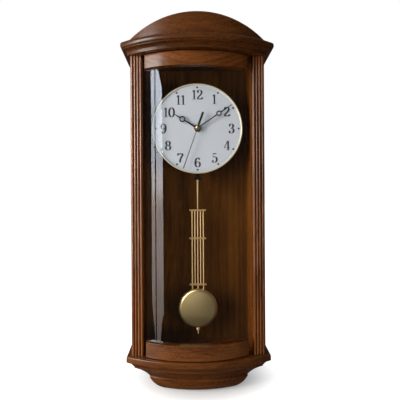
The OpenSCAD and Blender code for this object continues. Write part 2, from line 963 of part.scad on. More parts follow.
module centre_bush() {
    color(brass) outward(inner_front - centre_flange_t, 0, dial_z) difference() {
        union() {
            cylinder(h = centre_flange_t, r = centre_flange_r);
            cylinder(h = bush_end - inner_front + centre_flange_t, r = centre_bush_r);
        }
        translate([0, 0, -over])
            cylinder(h = bush_end - inner_front + centre_flange_t + 2 * over, r = bush_bore_r);
    }
}

module dial_nut() {
    color(brass) outward(dial_out, 0, dial_z) difference() {
        cylinder(h = nut_t, r = nut_across / sqrt(3), $fn = 6);
        translate([0, 0, -over]) cylinder(h = nut_t + 2 * over, r = centre_bush_r);
    }
}

module batteries() {
    color("#c9a23a") for (z = [-cell_z, cell_z]) cell(z);
}

module battery_contacts() {
    color(steel) for (z = [-cell_z, cell_z], side = [-1, 1])
        translate([side * (case_in - contact_t / 2), -cell_out, dial_z + z]) {
            cube([contact_t, contact_w, contact_w], center = true);
            rotate([0, -side * 90, 0])
                cylinder(h = case_in - contact_t / 2 - cell_len / 2, r = contact_boss_r);
        }
}

module circuit_board() {
    color("#1f5a36") {
        move_box(board_x - pcb_w / 2, board_x + pcb_w / 2, -pcb_h / 2, pcb_h / 2, pcb_back, pcb_t);
        for (x = button_x) move_box(x - switch_half, x + switch_half, -switch_half, switch_half,
            pcb_back - switch_h, switch_h);
    }
}

// Two motor coils, each on a bobbin whose flanges stand on the front wall
module motor_coils() {
    coil_y = inner_front - motor_coil_r - motor_stand;
    color("#a4562c") for (x = [board_x - motor_back, coil_2_x]) {
        translate([x, -coil_y, dial_z - motor_coil_len / 2])
            cylinder(h = motor_coil_len, r = motor_coil_r);
        for (z = [-motor_coil_len / 2 - motor_flange_t, motor_coil_len / 2])
            move_box(x - motor_coil_r - motor_flange_lap, x + motor_coil_r + motor_flange_lap,
                z, z + motor_flange_t,
                coil_y - motor_coil_r, inner_front - coil_y + motor_coil_r);
    }
}

module ferrite_rod() {
    color("#3a3a3c") antenna_core();
}

module antenna_winding() {
    color("#a4562c") difference() {
        translate([-winding_len / 2, -antenna_out, dial_z + antenna_z]) rotate([0, 90, 0])
            cylinder(h = winding_len, r = winding_r);
        antenna_core();
    }
}

module pendulum_coil() {
    color("#a4562c") outward(coil_seat - coil_len, 0, dial_z + coil_z) difference() {
        cylinder(h = coil_len, r = coil_out_r);
        translate([0, 0, -over]) cylinder(h = coil_len + 2 * over, r = coil_core_r);
    }
}

// Pin that the pendulum swings on, with a head behind the arm
module pivot_pin() {
    head_out = arm_out - air - pin_head_h;
    color(steel) outward(head_out, 0, pivot_z) {
        cylinder(h = pin_head_h, r = pin_head_r);
        cylinder(h = inner_back + pin_seat - head_out, r = pin_r);
    }
}

// Door

module rail(z0, z1, seat_z0) {
    color(walnut) difference() {
        bow_band(door_r, door_r - rail_t, door_r, door_d, door_mid_x, door_w / 2, z0, z1);
        bow_band(glass_r, door_r - rail_t - over, door_r, door_d, door_mid_x,
            door_w / 2 + over, seat_z0, seat_z0 + glass_seat);
        door_pins_shape();
        strike_plate_shape();
    }
}

module door_top_rail() {
    rail(door_top - top_rail_h, door_top, door_top - top_rail_h);
}

module door_bottom_rail() {
    rail(door_bottom, door_bottom + bottom_rail_h, door_bottom + bottom_rail_h - glass_seat);
}

module door_glass() {
    color("#dfe8ea") bow_band(glass_r, glass_r - glass_t, door_r, door_d, door_mid_x, door_w / 2,
        door_bottom + bottom_rail_h - glass_seat, door_top - top_rail_h + glass_seat);
}

// Bent strips that hold the glass in the rebates of the rails
module glass_beads() {
    color(walnut) for (z = [door_bottom + bottom_rail_h, door_top - top_rail_h + glass_seat])
        bow_band(bead_out_r, bead_in_r, door_r, door_d, door_mid_x, door_w / 2, z - glass_seat, z);
}

module door_pins_shape() {
    translate([pivot_x, pivot_y, door_top - door_pin_in])
        cylinder(h = door_pin_in + door_gap + door_pin_out, r = door_pin_r);
    translate([pivot_x, pivot_y, door_bottom - door_gap - door_pin_out])
        cylinder(h = door_pin_in + door_gap + door_pin_out, r = door_pin_r);
}

module door_pins() {
    color(steel) door_pins_shape();
}

module strike_plate_shape() {
    on_bow(door_r, door_d, door_mid_x, catch_angle)
        translate([-strike_w / 2, rail_t - strike_t, catch_mid_z - strike_h / 2])
            cube([strike_w, strike_t, strike_h]);
}

module strike_plate() {
    color(steel) strike_plate_shape();
}

// Hands

// Tapered stretch of a hand along +y, from y0 to y1
module taper(y0, y1, w0, w1) {
    polygon([[-w0 / 2, y0], [w0 / 2, y0], [w1 / 2, y1], [-w1 / 2, y1]]);
}

// Flat hand with a hub, a tapered arm, a ring and a pointed tip
module ring_hand(length, ring_at, ring_r, ring_w, root_w, bore_r, hub_r) {
    linear_extrude(hand_t) difference() {
        union() {
            circle(hub_r);
            taper(0, ring_at - ring_r + ring_w / 2, root_w, root_w * 0.62);
            translate([0, ring_at]) circle(ring_r);
            taper(ring_at + ring_r - ring_w / 2, length, root_w * 0.8, hand_tip_w);
        }
        translate([0, ring_at]) circle(ring_r - ring_w);
        circle(bore_r);
    }
}

module minute_hand() {
    color(black) outward(minute_hand_back, 0, dial_z) rotate([0, 0, -minute_at])
        ring_hand(minute_len, minute_ring_at, minute_ring_r, minute_ring_w, minute_root_w,
            minute_pipe_r, minute_hub_r);
}

module hour_hand() {
    color(black) outward(hour_hand_back, 0, dial_z) rotate([0, 0, -hour_at])
        ring_hand(hour_len, hour_ring_at, hour_ring_r, hour_ring_w, hour_root_w,
            hour_pipe_r, hour_hub_r);
}

module second_hand() {
    color("#2c2c30") outward(second_hand_back, 0, dial_z) rotate([0, 0, -second_at])
        linear_extrude(second_hand_t) difference() {
            union() {
                circle(second_hub_r);
                taper(0, second_len, second_root_w, second_tip_w);
                taper(-tail_start - neck_w, 0, neck_w, neck_w);
                translate([-tail_w / 2, -tail_end]) square([tail_w, tail_end - tail_start]);
            }
            circle(second_r);
        }
}

module second_cap() {
    color(brass) outward(second_hand_back + second_hand_t, 0, dial_z) difference() {
        rotate_extrude() intersection() {
            translate([0, cap_h - cap_r]) circle(cap_r, $fn = 96);
            square([cap_r, cap_h]);
        }
        translate([0, 0, -over]) cylinder(h = over + cap_seat, r = second_r);
    }
}

// Wheel outline: straight-flanked teeth, thinned for backlash, with rounded-off tips
module wheel_outline(teeth, phase = 0) {
    pitch_r = gear_module * teeth / 2;
    tip_r = pitch_r + 0.75 * gear_module;
    root_r = pitch_r - 1.1 * gear_module;
    step = 360 / teeth;
    flank = [[root_r, 0.30], [pitch_r, 0.185], [tip_r, 0.07]];
    polygon([for (i = [0 : teeth - 1])
        each [for (side = [-1, 1], k = [0 : 2])
            let (p = side < 0 ? flank[k] : flank[2 - k], a = phase + step * (i + side * p[1]))
                [p[0] * cos(a), p[0] * sin(a)]]]);
}

module wheel(teeth, back, thick, x = 0, phase = 0) {
    outward(back, x, dial_z) linear_extrude(thick) wheel_outline(teeth, phase);
}

module minute_arbor() {
    color(brass) difference() {
        union() {
            outward(centre_wheel_back, 0, dial_z)
                cylinder(h = minute_pipe_end - centre_wheel_back, r = minute_pipe_r);
            wheel(minute_teeth, minute_pinion_back, minute_pinion_len);
            wheel(motion_teeth, centre_wheel_back, wheel_t);
        }
        outward(centre_wheel_back - over, 0, dial_z)
            cylinder(h = minute_pipe_end - centre_wheel_back + 2 * over, r = minute_bore_r);
    }
}

module hour_wheel() {
    color(brass) difference() {
        union() {
            outward(hour_wheel_back, 0, dial_z)
                cylinder(h = hour_pipe_end - hour_wheel_back, r = hour_pipe_r);
            wheel(hour_teeth, hour_wheel_back, wheel_t);
        }
        outward(hour_wheel_back - over, 0, dial_z)
            cylinder(h = hour_pipe_end - hour_wheel_back + 2 * over, r = hour_bore_r);
    }
}

// Wheel and pinion between the minute pinion and the hour wheel
module motion_wheel() {
    color(brass) difference() {
        union() {
            wheel(motion_teeth, motion_wheel_back, wheel_t, motion_x, 180 / motion_teeth);
            wheel(motion_pinion_teeth, motion_wheel_back + wheel_t,
                hour_wheel_back - motion_wheel_back, motion_x, 180 / motion_pinion_teeth);
        }
        outward(motion_wheel_back - over, motion_x, dial_z)
            cylinder(h = hour_wheel_back - motion_wheel_back + 3 * over + wheel_t,
                r = motion_bore_r);
    }
}

module second_arbor() {
    color(steel) {
        outward(inner_back, 0, dial_z) cylinder(h = second_arbor_end - inner_back, r = second_r);
        difference() {
            wheel(motion_teeth, second_wheel_back, wheel_t);
            outward(second_wheel_back - over, 0, dial_z)
                cylinder(h = wheel_t + 2 * over, r = second_r);
        }
    }
}

// Buttons on the back of the movement

module button(x) {
    color("#d8d8d4") {
        outward(case_back - button_proud, x, dial_z)
            cylinder(h = pcb_back - switch_h - button_travel - air - case_back + button_proud,
                r = button_r);
        outward(inner_back + air, x, dial_z) cylinder(h = button_flange_t, r = button_flange_r);
    }
}

module signal_button() {
    button(button_x[0]);
}

module reset_button() {
    button(button_x[1]);
}

// Pendulum

module pendulum_arm() {
    color(black) difference() {
        union() {
            outward(arm_out, 0, pivot_z) linear_extrude(arm_t) {
                circle(arm_boss_r);
                translate([-arm_w / 2, -hook_drop]) square([arm_w, hook_drop]);
                translate([0, pivot_drop + coil_z]) circle(magnet_r + magnet_rim);
                translate([-arm_foot_w / 2, -hook_drop - arm_foot_h / 2])
                    square([arm_foot_w, arm_foot_h]);
            }
            outward(arm_out - stem_t, 0, pivot_z - hook_drop)
                cylinder(h = stem_t + over, r = peg_r);
        }
        outward(arm_out - over, 0, pivot_z) cylinder(h = arm_t + 2 * over, r = pin_r + run_fit);
        magnet_shape();
    }
}

module magnet_shape() {
    outward(arm_out + arm_t - magnet_t, 0, dial_z + coil_z) cylinder(h = magnet_t, r = magnet_r);
}

module pendulum_magnet() {
    color(steel) magnet_shape();
}

// Eye that hangs on the arm's peg, and flat stem down to the top crossbar
module pendulum_stem() {
    foot = bar_1_drop - bar_h / 2;
    color(brass) outward(arm_out - stem_t, 0, pivot_z) linear_extrude(stem_t) difference() {
        union() {
            translate([0, -hook_drop]) circle(hook_r);
            translate([-stem_w / 2, -foot]) square([stem_w, foot - hook_drop]);
        }
        translate([0, -hook_drop]) circle(peg_r);
    }
}

module bar_box(drop) {
    translate([-bar_w / 2, -pend_y - bar_t / 2, pivot_z - drop - bar_h / 2])
        cube([bar_w, bar_t, bar_h]);
}

module rod_shape(x, top, bottom) {
    translate([x, -pend_y, pivot_z - bottom]) cylinder(h = bottom - top, r = rod_r, $fn = 32);
}

// Lower ends of the rods: the middle one goes through the bob, the outer pair sits in its
// upper edge, and the inner pair ends at the bottom bar
rod_ends = [
    bob_drop + bob_d / 2 + thread_end,
    bar_3_drop + bar_h / 2,
    bob_drop - sqrt(pow(bob_d / 2, 2) - pow(2 * rod_pitch, 2)) + rod_seat];

module rods_shape() {
    for (i = [-2 : 2]) rod_shape(i * rod_pitch, bar_1_drop - bar_h / 2, rod_ends[abs(i)]);
}

module pendulum_bars() {
    color(brass) difference() {
        for (drop = [bar_1_drop, bar_2_drop, bar_3_drop]) bar_box(drop);
        rods_shape();
    }
}

module pendulum_rods() {
    color(brass) rods_shape();
}

// Half of the bob's outline: a shallow dome, a crease, and a shoulder that rolls to the edge
function dome_points(r, h, shoulder) = concat(
    [for (i = [0 : 6]) [(r - shoulder) * i / 6, h - bob_crown * pow(i / 6, 2)]],
    [for (a = [80 : -10 : 0])
        [r - shoulder + shoulder * cos(a), (h - bob_crown) * sin(a)]]);

module dome(r, h, shoulder, below = 0) {
    foot = below > 0 ? [[r, -below], [0, -below]] : [[0, 0]];
    rotate_extrude($fn = 180) polygon(concat(dome_points(r, h, shoulder), foot));
}

// Notches in the edge of the bob's sheet, through which the rods pass
module rod_notches() {
    wide = 2 * (rod_r + notch_gap);
    for (i = [-1 : 1])
        let (low = i == 0 ? -bob_d / 2 - over : bob_drop - rod_ends[2] - notch_gap)
            translate([2 * i * rod_pitch - wide / 2, low, -over])
                cube([wide, bob_d / 2 + over - low, wide / 2 + over]);
}

module bob_shell() {
    color(brass) outward(pend_y, 0, pivot_z - bob_drop) difference() {
        dome(bob_d / 2, bob_t / 2, bob_shoulder);
        dome(bob_d / 2 - shell_t, bob_t / 2 - shell_t, bob_shoulder - shell_t, over);
        rod_notches();
    }
}

module bob_core() {
    inside = shell_t + core_gap;
    color(walnut_dark) difference() {
        outward(pend_y, 0, pivot_z - bob_drop) {
            dome(bob_d / 2 - inside, bob_t / 2 - inside, bob_shoulder - inside);
            mirror([0, 0, 1]) dome(bob_d / 2, bob_t / 2 - core_back_in, bob_shoulder);
        }
        rods_shape();
    }
}

module rating_nut() {
    color(brass) translate([0, -pend_y, pivot_z - bob_drop - bob_d / 2 - rating_nut_h])
        difference() {
            cylinder(h = rating_nut_h, r = nut_r);
            translate([0, 0, -over]) cylinder(h = rating_nut_h + 2 * over, r = rod_r, $fn = 32);
        }
}

backboard();
left_side();
right_side();
left_column();
right_column();
top_board();
cornice();
crown_face();
crown_roof();
crown_back();
base_plate();
base_cove();
base_slope();
base_foot();
hanger_plate();
wood_screws();
pivot_bushes();
catch_body();
catch_magnet();
mount_cheeks();
dial_board();
dial_plate();
dial_bezel();
movement_case();
movement_back();
centre_bush();
dial_nut();
batteries();
battery_contacts();
circuit_board();
motor_coils();
ferrite_rod();
antenna_winding();
pendulum_coil();
pivot_pin();
door_top_rail();
door_bottom_rail();
door_glass();
glass_beads();
door_pins();
strike_plate();
minute_hand();
minute_arbor();
hour_hand();
hour_wheel();
second_hand();
second_arbor();
second_cap();
motion_wheel();
signal_button();
reset_button();
pendulum_arm();
pendulum_magnet();
pendulum_stem();
pendulum_bars();
pendulum_rods();
bob_shell();
bob_core();
rating_nut();
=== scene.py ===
"""Finishes of a bowed pendulum wall clock, its printed dial and the studio that it is seen in."""
import json
import math

import bmesh
import bpy
from bpy.props import FloatProperty, FloatVectorProperty, PointerProperty
from mathutils import Matrix, Vector

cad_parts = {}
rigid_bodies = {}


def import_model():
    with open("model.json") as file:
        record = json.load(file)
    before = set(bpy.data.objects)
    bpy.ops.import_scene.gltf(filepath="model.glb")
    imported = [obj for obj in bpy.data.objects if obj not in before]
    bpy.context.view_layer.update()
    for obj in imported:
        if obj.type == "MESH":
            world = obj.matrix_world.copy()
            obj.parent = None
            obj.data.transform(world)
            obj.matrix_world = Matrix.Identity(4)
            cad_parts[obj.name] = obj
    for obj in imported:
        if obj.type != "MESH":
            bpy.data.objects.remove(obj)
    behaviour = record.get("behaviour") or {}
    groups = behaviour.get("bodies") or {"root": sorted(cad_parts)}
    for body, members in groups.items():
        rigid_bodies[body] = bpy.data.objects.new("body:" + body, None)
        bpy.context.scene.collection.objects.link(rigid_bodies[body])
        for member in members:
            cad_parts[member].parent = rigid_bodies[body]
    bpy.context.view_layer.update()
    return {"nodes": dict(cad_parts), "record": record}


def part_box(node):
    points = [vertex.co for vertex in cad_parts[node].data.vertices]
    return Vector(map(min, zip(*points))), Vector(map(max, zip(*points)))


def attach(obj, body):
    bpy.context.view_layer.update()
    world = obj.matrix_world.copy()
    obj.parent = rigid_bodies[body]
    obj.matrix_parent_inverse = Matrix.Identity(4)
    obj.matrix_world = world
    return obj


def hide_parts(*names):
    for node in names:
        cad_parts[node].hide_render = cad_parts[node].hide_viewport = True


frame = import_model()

bl_info = {
    "name": "Pendulum wall clock",
    "version": (1, 0, 0),
    "blender": (4, 5, 0),
    "location": "View3D > Sidebar > Clock",
    "description": "Finishes a bowed pendulum wall clock, prints its dial and lights it",
    "category": "Object",
}

# Millimetre, in the metres that everything here is built in
MM = 0.001
# Vertices closer than this are the same corner of a CAD surface
WELD = 0.002 * MM
# Faces of a CAD surface that meet at less than this are one flat face
FLAT = math.radians(0.2)
# Edges sharper than this are eased
SHARP = math.radians(32)

# Dial and pendulum, read from the frame
dial_low, dial_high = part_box("dial_plate")
DIAL_X = (dial_low.x + dial_high.x) / 2
DIAL_Z = (dial_low.z + dial_high.z) / 2
DIAL_FACE = dial_low.y
bob_low, bob_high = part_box("bob_shell")
BOB_Z = (bob_low.z + bob_high.z) / 2
FLOOR_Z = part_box("base_foot")[0].z


# Sizes and colours that a user would change

def length(name, description, default):
    """A length in metres that shows in the panel."""
    return FloatProperty(name=name, description=description, default=default,
                         unit="LENGTH", precision=5)


def share(name, description, default, highest=1.0):
    """A plain number from zero up."""
    return FloatProperty(name=name, description=description, default=default, min=0.0,
                         max=highest, subtype="FACTOR" if highest == 1.0 else "NONE")


def colour(name, description, default):
    """A colour, written as the linear red, green and blue of the finish."""
    return FloatVectorProperty(name=name, description=description, default=default, size=3,
                               min=0.0, max=1.0, subtype="COLOR")


class ClockWood(bpy.types.PropertyGroup):
    """Stain, grain and lacquer of the case."""
    pale: colour("Pale grain", "Colour of the wide pale bands of the grain", (0.240, 0.074, 0.0125))
    deep: colour("Deep grain", "Colour of the dark lines of the grain", (0.080, 0.021, 0.0030))
    inside: colour("Inside", "Colour of the pale grain of the backboard", (0.120, 0.042, 0.0060))
    inside_deep: colour("Inside, deep", "Colour of the dark grain of the backboard",
                        (0.045, 0.015, 0.0022))
    pores: share("Pores", "How far the pores darken the lacquered wood", 0.55)
    lacquer: share("Lacquer", "Roughness of the lacquer", 0.2)
    eased: length("Eased edge", "Width of the eased edges of boards and mouldings", 0.45 * MM)
    eased_fine: length("Fine eased edge", "Width of the eased edges of inner boards", 0.25 * MM)


class ClockDial(bpy.types.PropertyGroup):
    """Printing of the dial."""
    paint: colour("Dial paint", "Colour of the dial", (0.565, 0.57, 0.63))
    ink: colour("Ink", "Colour of the numbers and dots", (0.018, 0.020, 0.024))
    track_ink: colour("Track ink", "Colour of the minute track", (0.32, 0.33, 0.35))
    number_height: length("Number height", "Height of an hour number", 17.6 * MM)
    number_spread: share("Number spread", "Width of a number against its drawn width", 1.24,
                         2.0)
    number_ring: length("Number ring", "Radius at which the numbers stand", 62.4 * MM)
    number_pull: length("Pull of two digits", "How far a number of two digits is drawn in at "
                        "the dial's side", 3.2 * MM)
    dot_ring: length("Dot ring", "Radius at which the hour dots stand", 75.8 * MM)
    dot_size: length("Dot size", "Diameter of an hour dot", 3.7 * MM)
    track_ring: length("Track ring", "Radius of the minute track", 75.8 * MM)
    print_height: length("Print height", "Thickness of the printed ink", 0.04 * MM)


class ClockMetal(bpy.types.PropertyGroup):
    """Metals of the clock."""
    brass: colour("Brass", "Brass of the bob, the bushes and the wheels", (0.66, 0.48, 0.23))
    bezel: colour("Bezel", "Colour of the bezel's satin gilt", (0.80, 0.72, 0.54))
    steel: colour("Steel", "Colour of plated steel", (0.56, 0.57, 0.58))
    cap: colour("Cap", "Old gilt of the cap at the dial's centre", (0.44, 0.31, 0.15))
    rods: colour("Rods", "Lacquered brass of the pendulum's rods", (0.70, 0.46, 0.23))
    bars: colour("Crossbars", "Lacquered brass of the crossbars", (0.45, 0.26, 0.10))
    copper: colour("Copper", "Enamelled copper wire of the coils", (0.46, 0.16, 0.05))
    brass_gloss: share("Brass roughness", "Roughness of the pendulum's rods and bars", 0.34)
    bob_gloss: share("Bob roughness", "Roughness of the bob's spun brass", 0.27)


class ClockStudio(bpy.types.PropertyGroup):
    """Light and camera."""
    key_power: share("Key light", "Power of the soft light on the left, in watts", 38.0, 500.0)
    inner_power: share("Inner light", "Power of the light on the backboard, in watts", 34.0, 500.0)
    fill: share("Fill", "Strength of the light from all sides", 0.26, 2.0)
    focal: FloatProperty(name="Focal length", description="Focal length of the camera",
                         default=36.0, unit="CAMERA")


# Shader building

VECTOR = "NodeSocketVector"
COLOUR = "NodeSocketColor"
FLOAT = "NodeSocketFloat"
PRINCIPLED = "ShaderNodeBsdfPrincipled"
WHITE = (1.0, 1.0, 1.0, 1.0)


def add_node(tree, kind, inputs=None, **settings):
    """Adds a node, with values or links for its named inputs."""
    made = tree.nodes.new(kind)
    for key, value in settings.items():
        setattr(made, key, value)
    for key, value in (inputs or {}).items():
        if isinstance(value, bpy.types.NodeSocket):
            tree.links.new(value, made.inputs[key])
        else:
            made.inputs[key].default_value = value
    return made


def maths(tree, operation, first, second=0.0, third=0.0):
    """Result of a Math node."""
    made = add_node(tree, "ShaderNodeMath", {0: first, 1: second, 2: third},
                    operation=operation)
    return made.outputs[0]


def distance(tree, first, second):
    """How far a place is from the origin, by two of its coordinates."""
    squares = [maths(tree, "MULTIPLY", side, side) for side in (first, second)]
    return maths(tree, "SQRT", maths(tree, "ADD", *squares))


def vector_maths(tree, operation, first, second):
    """Result of a Vector Math node."""
    made = add_node(tree, "ShaderNodeVectorMath", {0: first, 1: second}, operation=operation)
    return made.outputs[0]


def parts_of(tree, place):
    """The three coordinates of a place."""
    return add_node(tree, "ShaderNodeSeparateXYZ", {0: place}).outputs


def joined(tree, x, y, z):
    """Place with the three coordinates given."""
    return add_node(tree, "ShaderNodeCombineXYZ", {0: x, 1: y, 2: z}).outputs[0]


def remap(tree, value, low, high, to_low=0.0, to_high=1.0):
    """Value moved smoothly from one range to another, and held at its ends."""
    made = add_node(tree, "ShaderNodeMapRange", {
        "Value": value, "From Min": low, "From Max": high,
        "To Min": to_low, "To Max": to_high}, interpolation_type="SMOOTHSTEP")
    return made.outputs[0]


def mix_values(tree, mask, first, second):
    """First value, which gives way to the second where the mask is one."""
    made = add_node(tree, "ShaderNodeMix", {0: mask, 2: first, 3: second}, data_type="FLOAT")
    return made.outputs[0]


def mix_colours(tree, mask, first, second):
    """First colour, with the second laid over it where the mask is white."""
    made = add_node(tree, "ShaderNodeMix", {0: mask, 6: first, 7: second}, data_type="RGBA")
    return made.outputs[2]


def noise(tree, place, sizes, detail=3.0, rough=0.55, warp=0.0):
    """Noise from 0 to 1, whose features have the sizes given along x, y and z."""
    scaled = vector_maths(tree, "DIVIDE", place, sizes)
    made = add_node(tree, "ShaderNodeTexNoise", {
        "Vector": scaled, "Scale": 1.0, "Detail": detail, "Roughness": rough,
        "Distortion": warp})
    return made.outputs["Fac"]


def new_group(name, inputs, outputs):
    """Shader node group with named sockets. Returns its tree and what it is given."""
    tree = bpy.data.node_groups.new(name, "ShaderNodeTree")
    for label, kind, default in inputs:
        made = tree.interface.new_socket(label, in_out="INPUT", socket_type=kind)
        if default is not None:
            made.default_value = default
    for label, kind in outputs:
        tree.interface.new_socket(label, in_out="OUTPUT", socket_type=kind)
    return tree, tree.nodes.new("NodeGroupInput").outputs


def place_group(tree, name, inputs):
    """Puts a node group into a material and returns what it puts out."""
    group = bpy.data.node_groups[name]
    return add_node(tree, "ShaderNodeGroup", inputs, node_tree=group).outputs


# Sizes of the grain's features, along it and across it, in millimetres
SWAY_SIZES = (260.0, 38.0, 38.0)
TONE_SIZES = (170.0, 24.0, 24.0)
FIBRE_SIZES = (26.0, 0.9, 0.9)
PORE_SIZES = (9.0, 0.42, 0.42)
# How far the growth rings sway to either side, in millimetres
SWAY = 23.0
# Share of the slow tone in the shade of the grain, where the fibres are the rest
TONE_SHARE = 0.55
# Roughness of the wood, and what its fibres and pores add to it
WOOD_ROUGH = 0.20
FIBRE_ROUGH = 0.16
PORE_ROUGH = 0.12
# How far a fibre stands up and a pore goes down, as shares of the bump's depth
FIBRE_RISE = 0.25
PORE_DROP = 0.8


def build_grain_group():
    """Walnut grain. Place is in millimetres, with x along the grain."""
    tree, given = new_group("Walnut grain", [
        ("Place", VECTOR, None), ("Pale", COLOUR, None), ("Deep", COLOUR, None),
        ("Ring gap", FLOAT, 5.0), ("Ring strength", FLOAT, 0.5), ("Pores", FLOAT, 0.5),
    ], [("Colour", COLOUR), ("Roughness", FLOAT), ("Height", FLOAT)])
    place = given["Place"]
    parts = parts_of(tree, place)
    sway = maths(tree, "MULTIPLY_ADD", noise(tree, place, SWAY_SIZES), 2 * SWAY, -SWAY)
    spread = distance(tree, maths(tree, "ADD", parts[1], sway),
                      maths(tree, "ADD", parts[2], sway))
    ring = maths(tree, "FRACT", maths(tree, "DIVIDE", spread, given["Ring gap"]))
    late = maths(tree, "MULTIPLY", remap(tree, ring, 0.35, 1.0), given["Ring strength"])
    tone = remap(tree, noise(tree, place, TONE_SIZES, detail=4.0, warp=0.6), 0.30, 0.72)
    fibre = noise(tree, place, FIBRE_SIZES, rough=0.6)
    pore = remap(tree, noise(tree, place, PORE_SIZES, detail=1.0), 0.60, 0.72)
    shade = maths(tree, "ADD", maths(tree, "MULTIPLY", tone, TONE_SHARE), maths(
        tree, "MULTIPLY", remap(tree, fibre, 0.25, 0.75), 1.0 - TONE_SHARE))
    lit = maths(tree, "MAXIMUM", maths(tree, "SUBTRACT", shade, late), 0.0)
    bare = mix_colours(tree, lit, given["Deep"], given["Pale"])
    in_pore = maths(tree, "MULTIPLY", pore, given["Pores"])
    rough = maths(tree, "MULTIPLY_ADD", pore, PORE_ROUGH, WOOD_ROUGH)
    rise = maths(tree, "MULTIPLY", fibre, FIBRE_RISE)
    add_node(tree, "NodeGroupOutput", {
        "Colour": mix_colours(tree, in_pore, bare, given["Deep"]),
        "Roughness": maths(tree, "MULTIPLY_ADD", fibre, FIBRE_ROUGH, rough),
        "Height": maths(tree, "MULTIPLY_ADD", pore, -PORE_DROP, rise)})


# How far the grain of a return is moved against the front's, in millimetres
RETURN_SHIFT = 61.0


def build_mitre_group():
    """Turns the grain at a mitred corner, so that it runs out to the wall on the returns."""
    tree, given = new_group("Mitred grain", [
        ("Place", VECTOR, None), ("Side", FLOAT, 100.0), ("Corner", FLOAT, 100.0),
    ], [("Place", VECTOR)])
    x, y, z = parts_of(tree, given["Place"])
    past_side = maths(tree, "SUBTRACT", maths(tree, "ABSOLUTE", x), given["Side"])
    past_front = maths(tree, "SUBTRACT", maths(tree, "MULTIPLY", y, -1.0), given["Corner"])
    on_return = maths(tree, "GREATER_THAN", past_side, past_front)
    swapped = joined(tree, y, x, maths(tree, "ADD", z, RETURN_SHIFT))
    chosen = add_node(tree, "ShaderNodeMix", {0: on_return, 4: given["Place"], 5: swapped},
                      data_type="VECTOR")
    add_node(tree, "NodeGroupOutput", {"Place": chosen.outputs[1]})


# Sizes of smears and of specks of dust, in millimetres, and the smears' share of the mask
SMEAR_SIZES = (34.0, 34.0, 34.0)
SPECK_SIZES = (1.6, 1.6, 1.6)
SMEAR_SHARE = 0.7


def build_handling_group():
    """Faint smears and dust that vary the gloss of a polished surface. Place is in millimetres."""
    tree, given = new_group("Handling", [
        ("Place", VECTOR, None), ("Roughness", FLOAT, 0.2), ("Change", FLOAT, 0.1),
    ], [("Roughness", FLOAT), ("Mask", FLOAT)])
    smear = noise(tree, given["Place"], SMEAR_SIZES, detail=5.0)
    speck = noise(tree, given["Place"], SPECK_SIZES, detail=2.0)
    mask = maths(tree, "ADD", maths(tree, "MULTIPLY", smear, SMEAR_SHARE),
                 maths(tree, "MULTIPLY", speck, 1.0 - SMEAR_SHARE))
    rough = maths(tree, "MULTIPLY_ADD", mask, given["Change"], given["Roughness"])
    add_node(tree, "NodeGroupOutput", {"Roughness": rough, "Mask": mask})


# Length of a line left by brushing or spinning, in millimetres
LINE_LENGTH = 60.0


def build_brushing_group():
    """Fine lines of brushed or spun metal. Place is in millimetres, with x along the lines."""
    tree, given = new_group("Brushed lines", [
        ("Place", VECTOR, None), ("Line width", FLOAT, 0.12)], [("Lines", FLOAT)])
    width = given["Line width"]
    lines = noise(tree, given["Place"], joined(tree, LINE_LENGTH, width, width), rough=0.7)
    add_node(tree, "NodeGroupOutput", {"Lines": lines})


def build_speckle_group():
    """Grain of moulded plastic or fine paint. Place is in millimetres."""
    tree, given = new_group("Fine speckle", [
        ("Place", VECTOR, None), ("Size", FLOAT, 0.5)], [("Height", FLOAT)])
    size = given["Size"]
    speckle = noise(tree, given["Place"], joined(tree, size, size, size), detail=2.0)
    add_node(tree, "NodeGroupOutput", {"Height": speckle})


# Finishes

# Turns of the grain or the fine lines: up the piece, along its width, and out of the wall
UPRIGHT = (0.0, math.pi / 2, 0.0)
ALONG = (0.0, 0.0, 0.0)
OUTWARD = (0.0, 0.0, math.pi / 2)

# Width of the fine lines on drawn or plated metal and on the spun bob, in millimetres
METAL_LINE = 0.15
BOB_LINE = 0.2
# How far smears and dust change the roughness of a smooth surface
HANDLING = 0.1
# Depths of the bumps on wood, metal and wound wire
WOOD_BUMP = 0.05 * MM
METAL_BUMP = 0.004 * MM
WIRE_BUMP = 0.06 * MM
# Metallic shares of lacquered satin brass, the bob, the cap and the bezel; the rest scatters
SATIN = 0.55
BOB_METAL = 0.95
CAP_METAL = 0.85
BEZEL_METAL = 0.35
# Radius at which a turn round the bob is as long as a straight line, in millimetres
SPIN_RADIUS = 40.0
# Colours of the film round a cell, and where it changes, in millimetres from the clock's middle
WRAP_BLACK = (0.03, 0.03, 0.032, 1.0)
WRAP_GOLD = (0.50, 0.27, 0.08, 1.0)
WRAP_BAND = (11.8, 12.2)


def new_material(name):
    """Empty node material and its tree."""
    material = bpy.data.materials.new(name)
    material.use_nodes = True
    material.node_tree.nodes.clear()
    return material, material.node_tree


def show(tree, shader):
    """Makes a shader the one that the surface shows."""
    output = tree.nodes.new("ShaderNodeOutputMaterial")
    tree.links.new(shader.outputs[0], output.inputs["Surface"])


def tinted(tint, tone=1.0):
    """Colour for a node, darkened or lightened by a tone."""
    return [min(c * tone, 1.0) for c in tint] + [1.0]


def place_in_mm(tree, turn=ALONG, shift=(0.0, 0.0, 0.0)):
    """Place on the object in millimetres, turned so that x runs along the grain or the lines."""
    where = tree.nodes.new("ShaderNodeTexCoord")
    made = add_node(tree, "ShaderNodeMapping", {
        "Vector": where.outputs["Object"], "Location": shift, "Rotation": turn,
        "Scale": (1.0 / MM, 1.0 / MM, 1.0 / MM)})
    return made.outputs[0]


def bumped(tree, height, depth, strength):
    """Normal of a surface whose bumps have a depth in metres."""
    made = add_node(tree, "ShaderNodeBump", {
        "Height": height, "Distance": depth, "Strength": strength})
    return made.outputs[0]


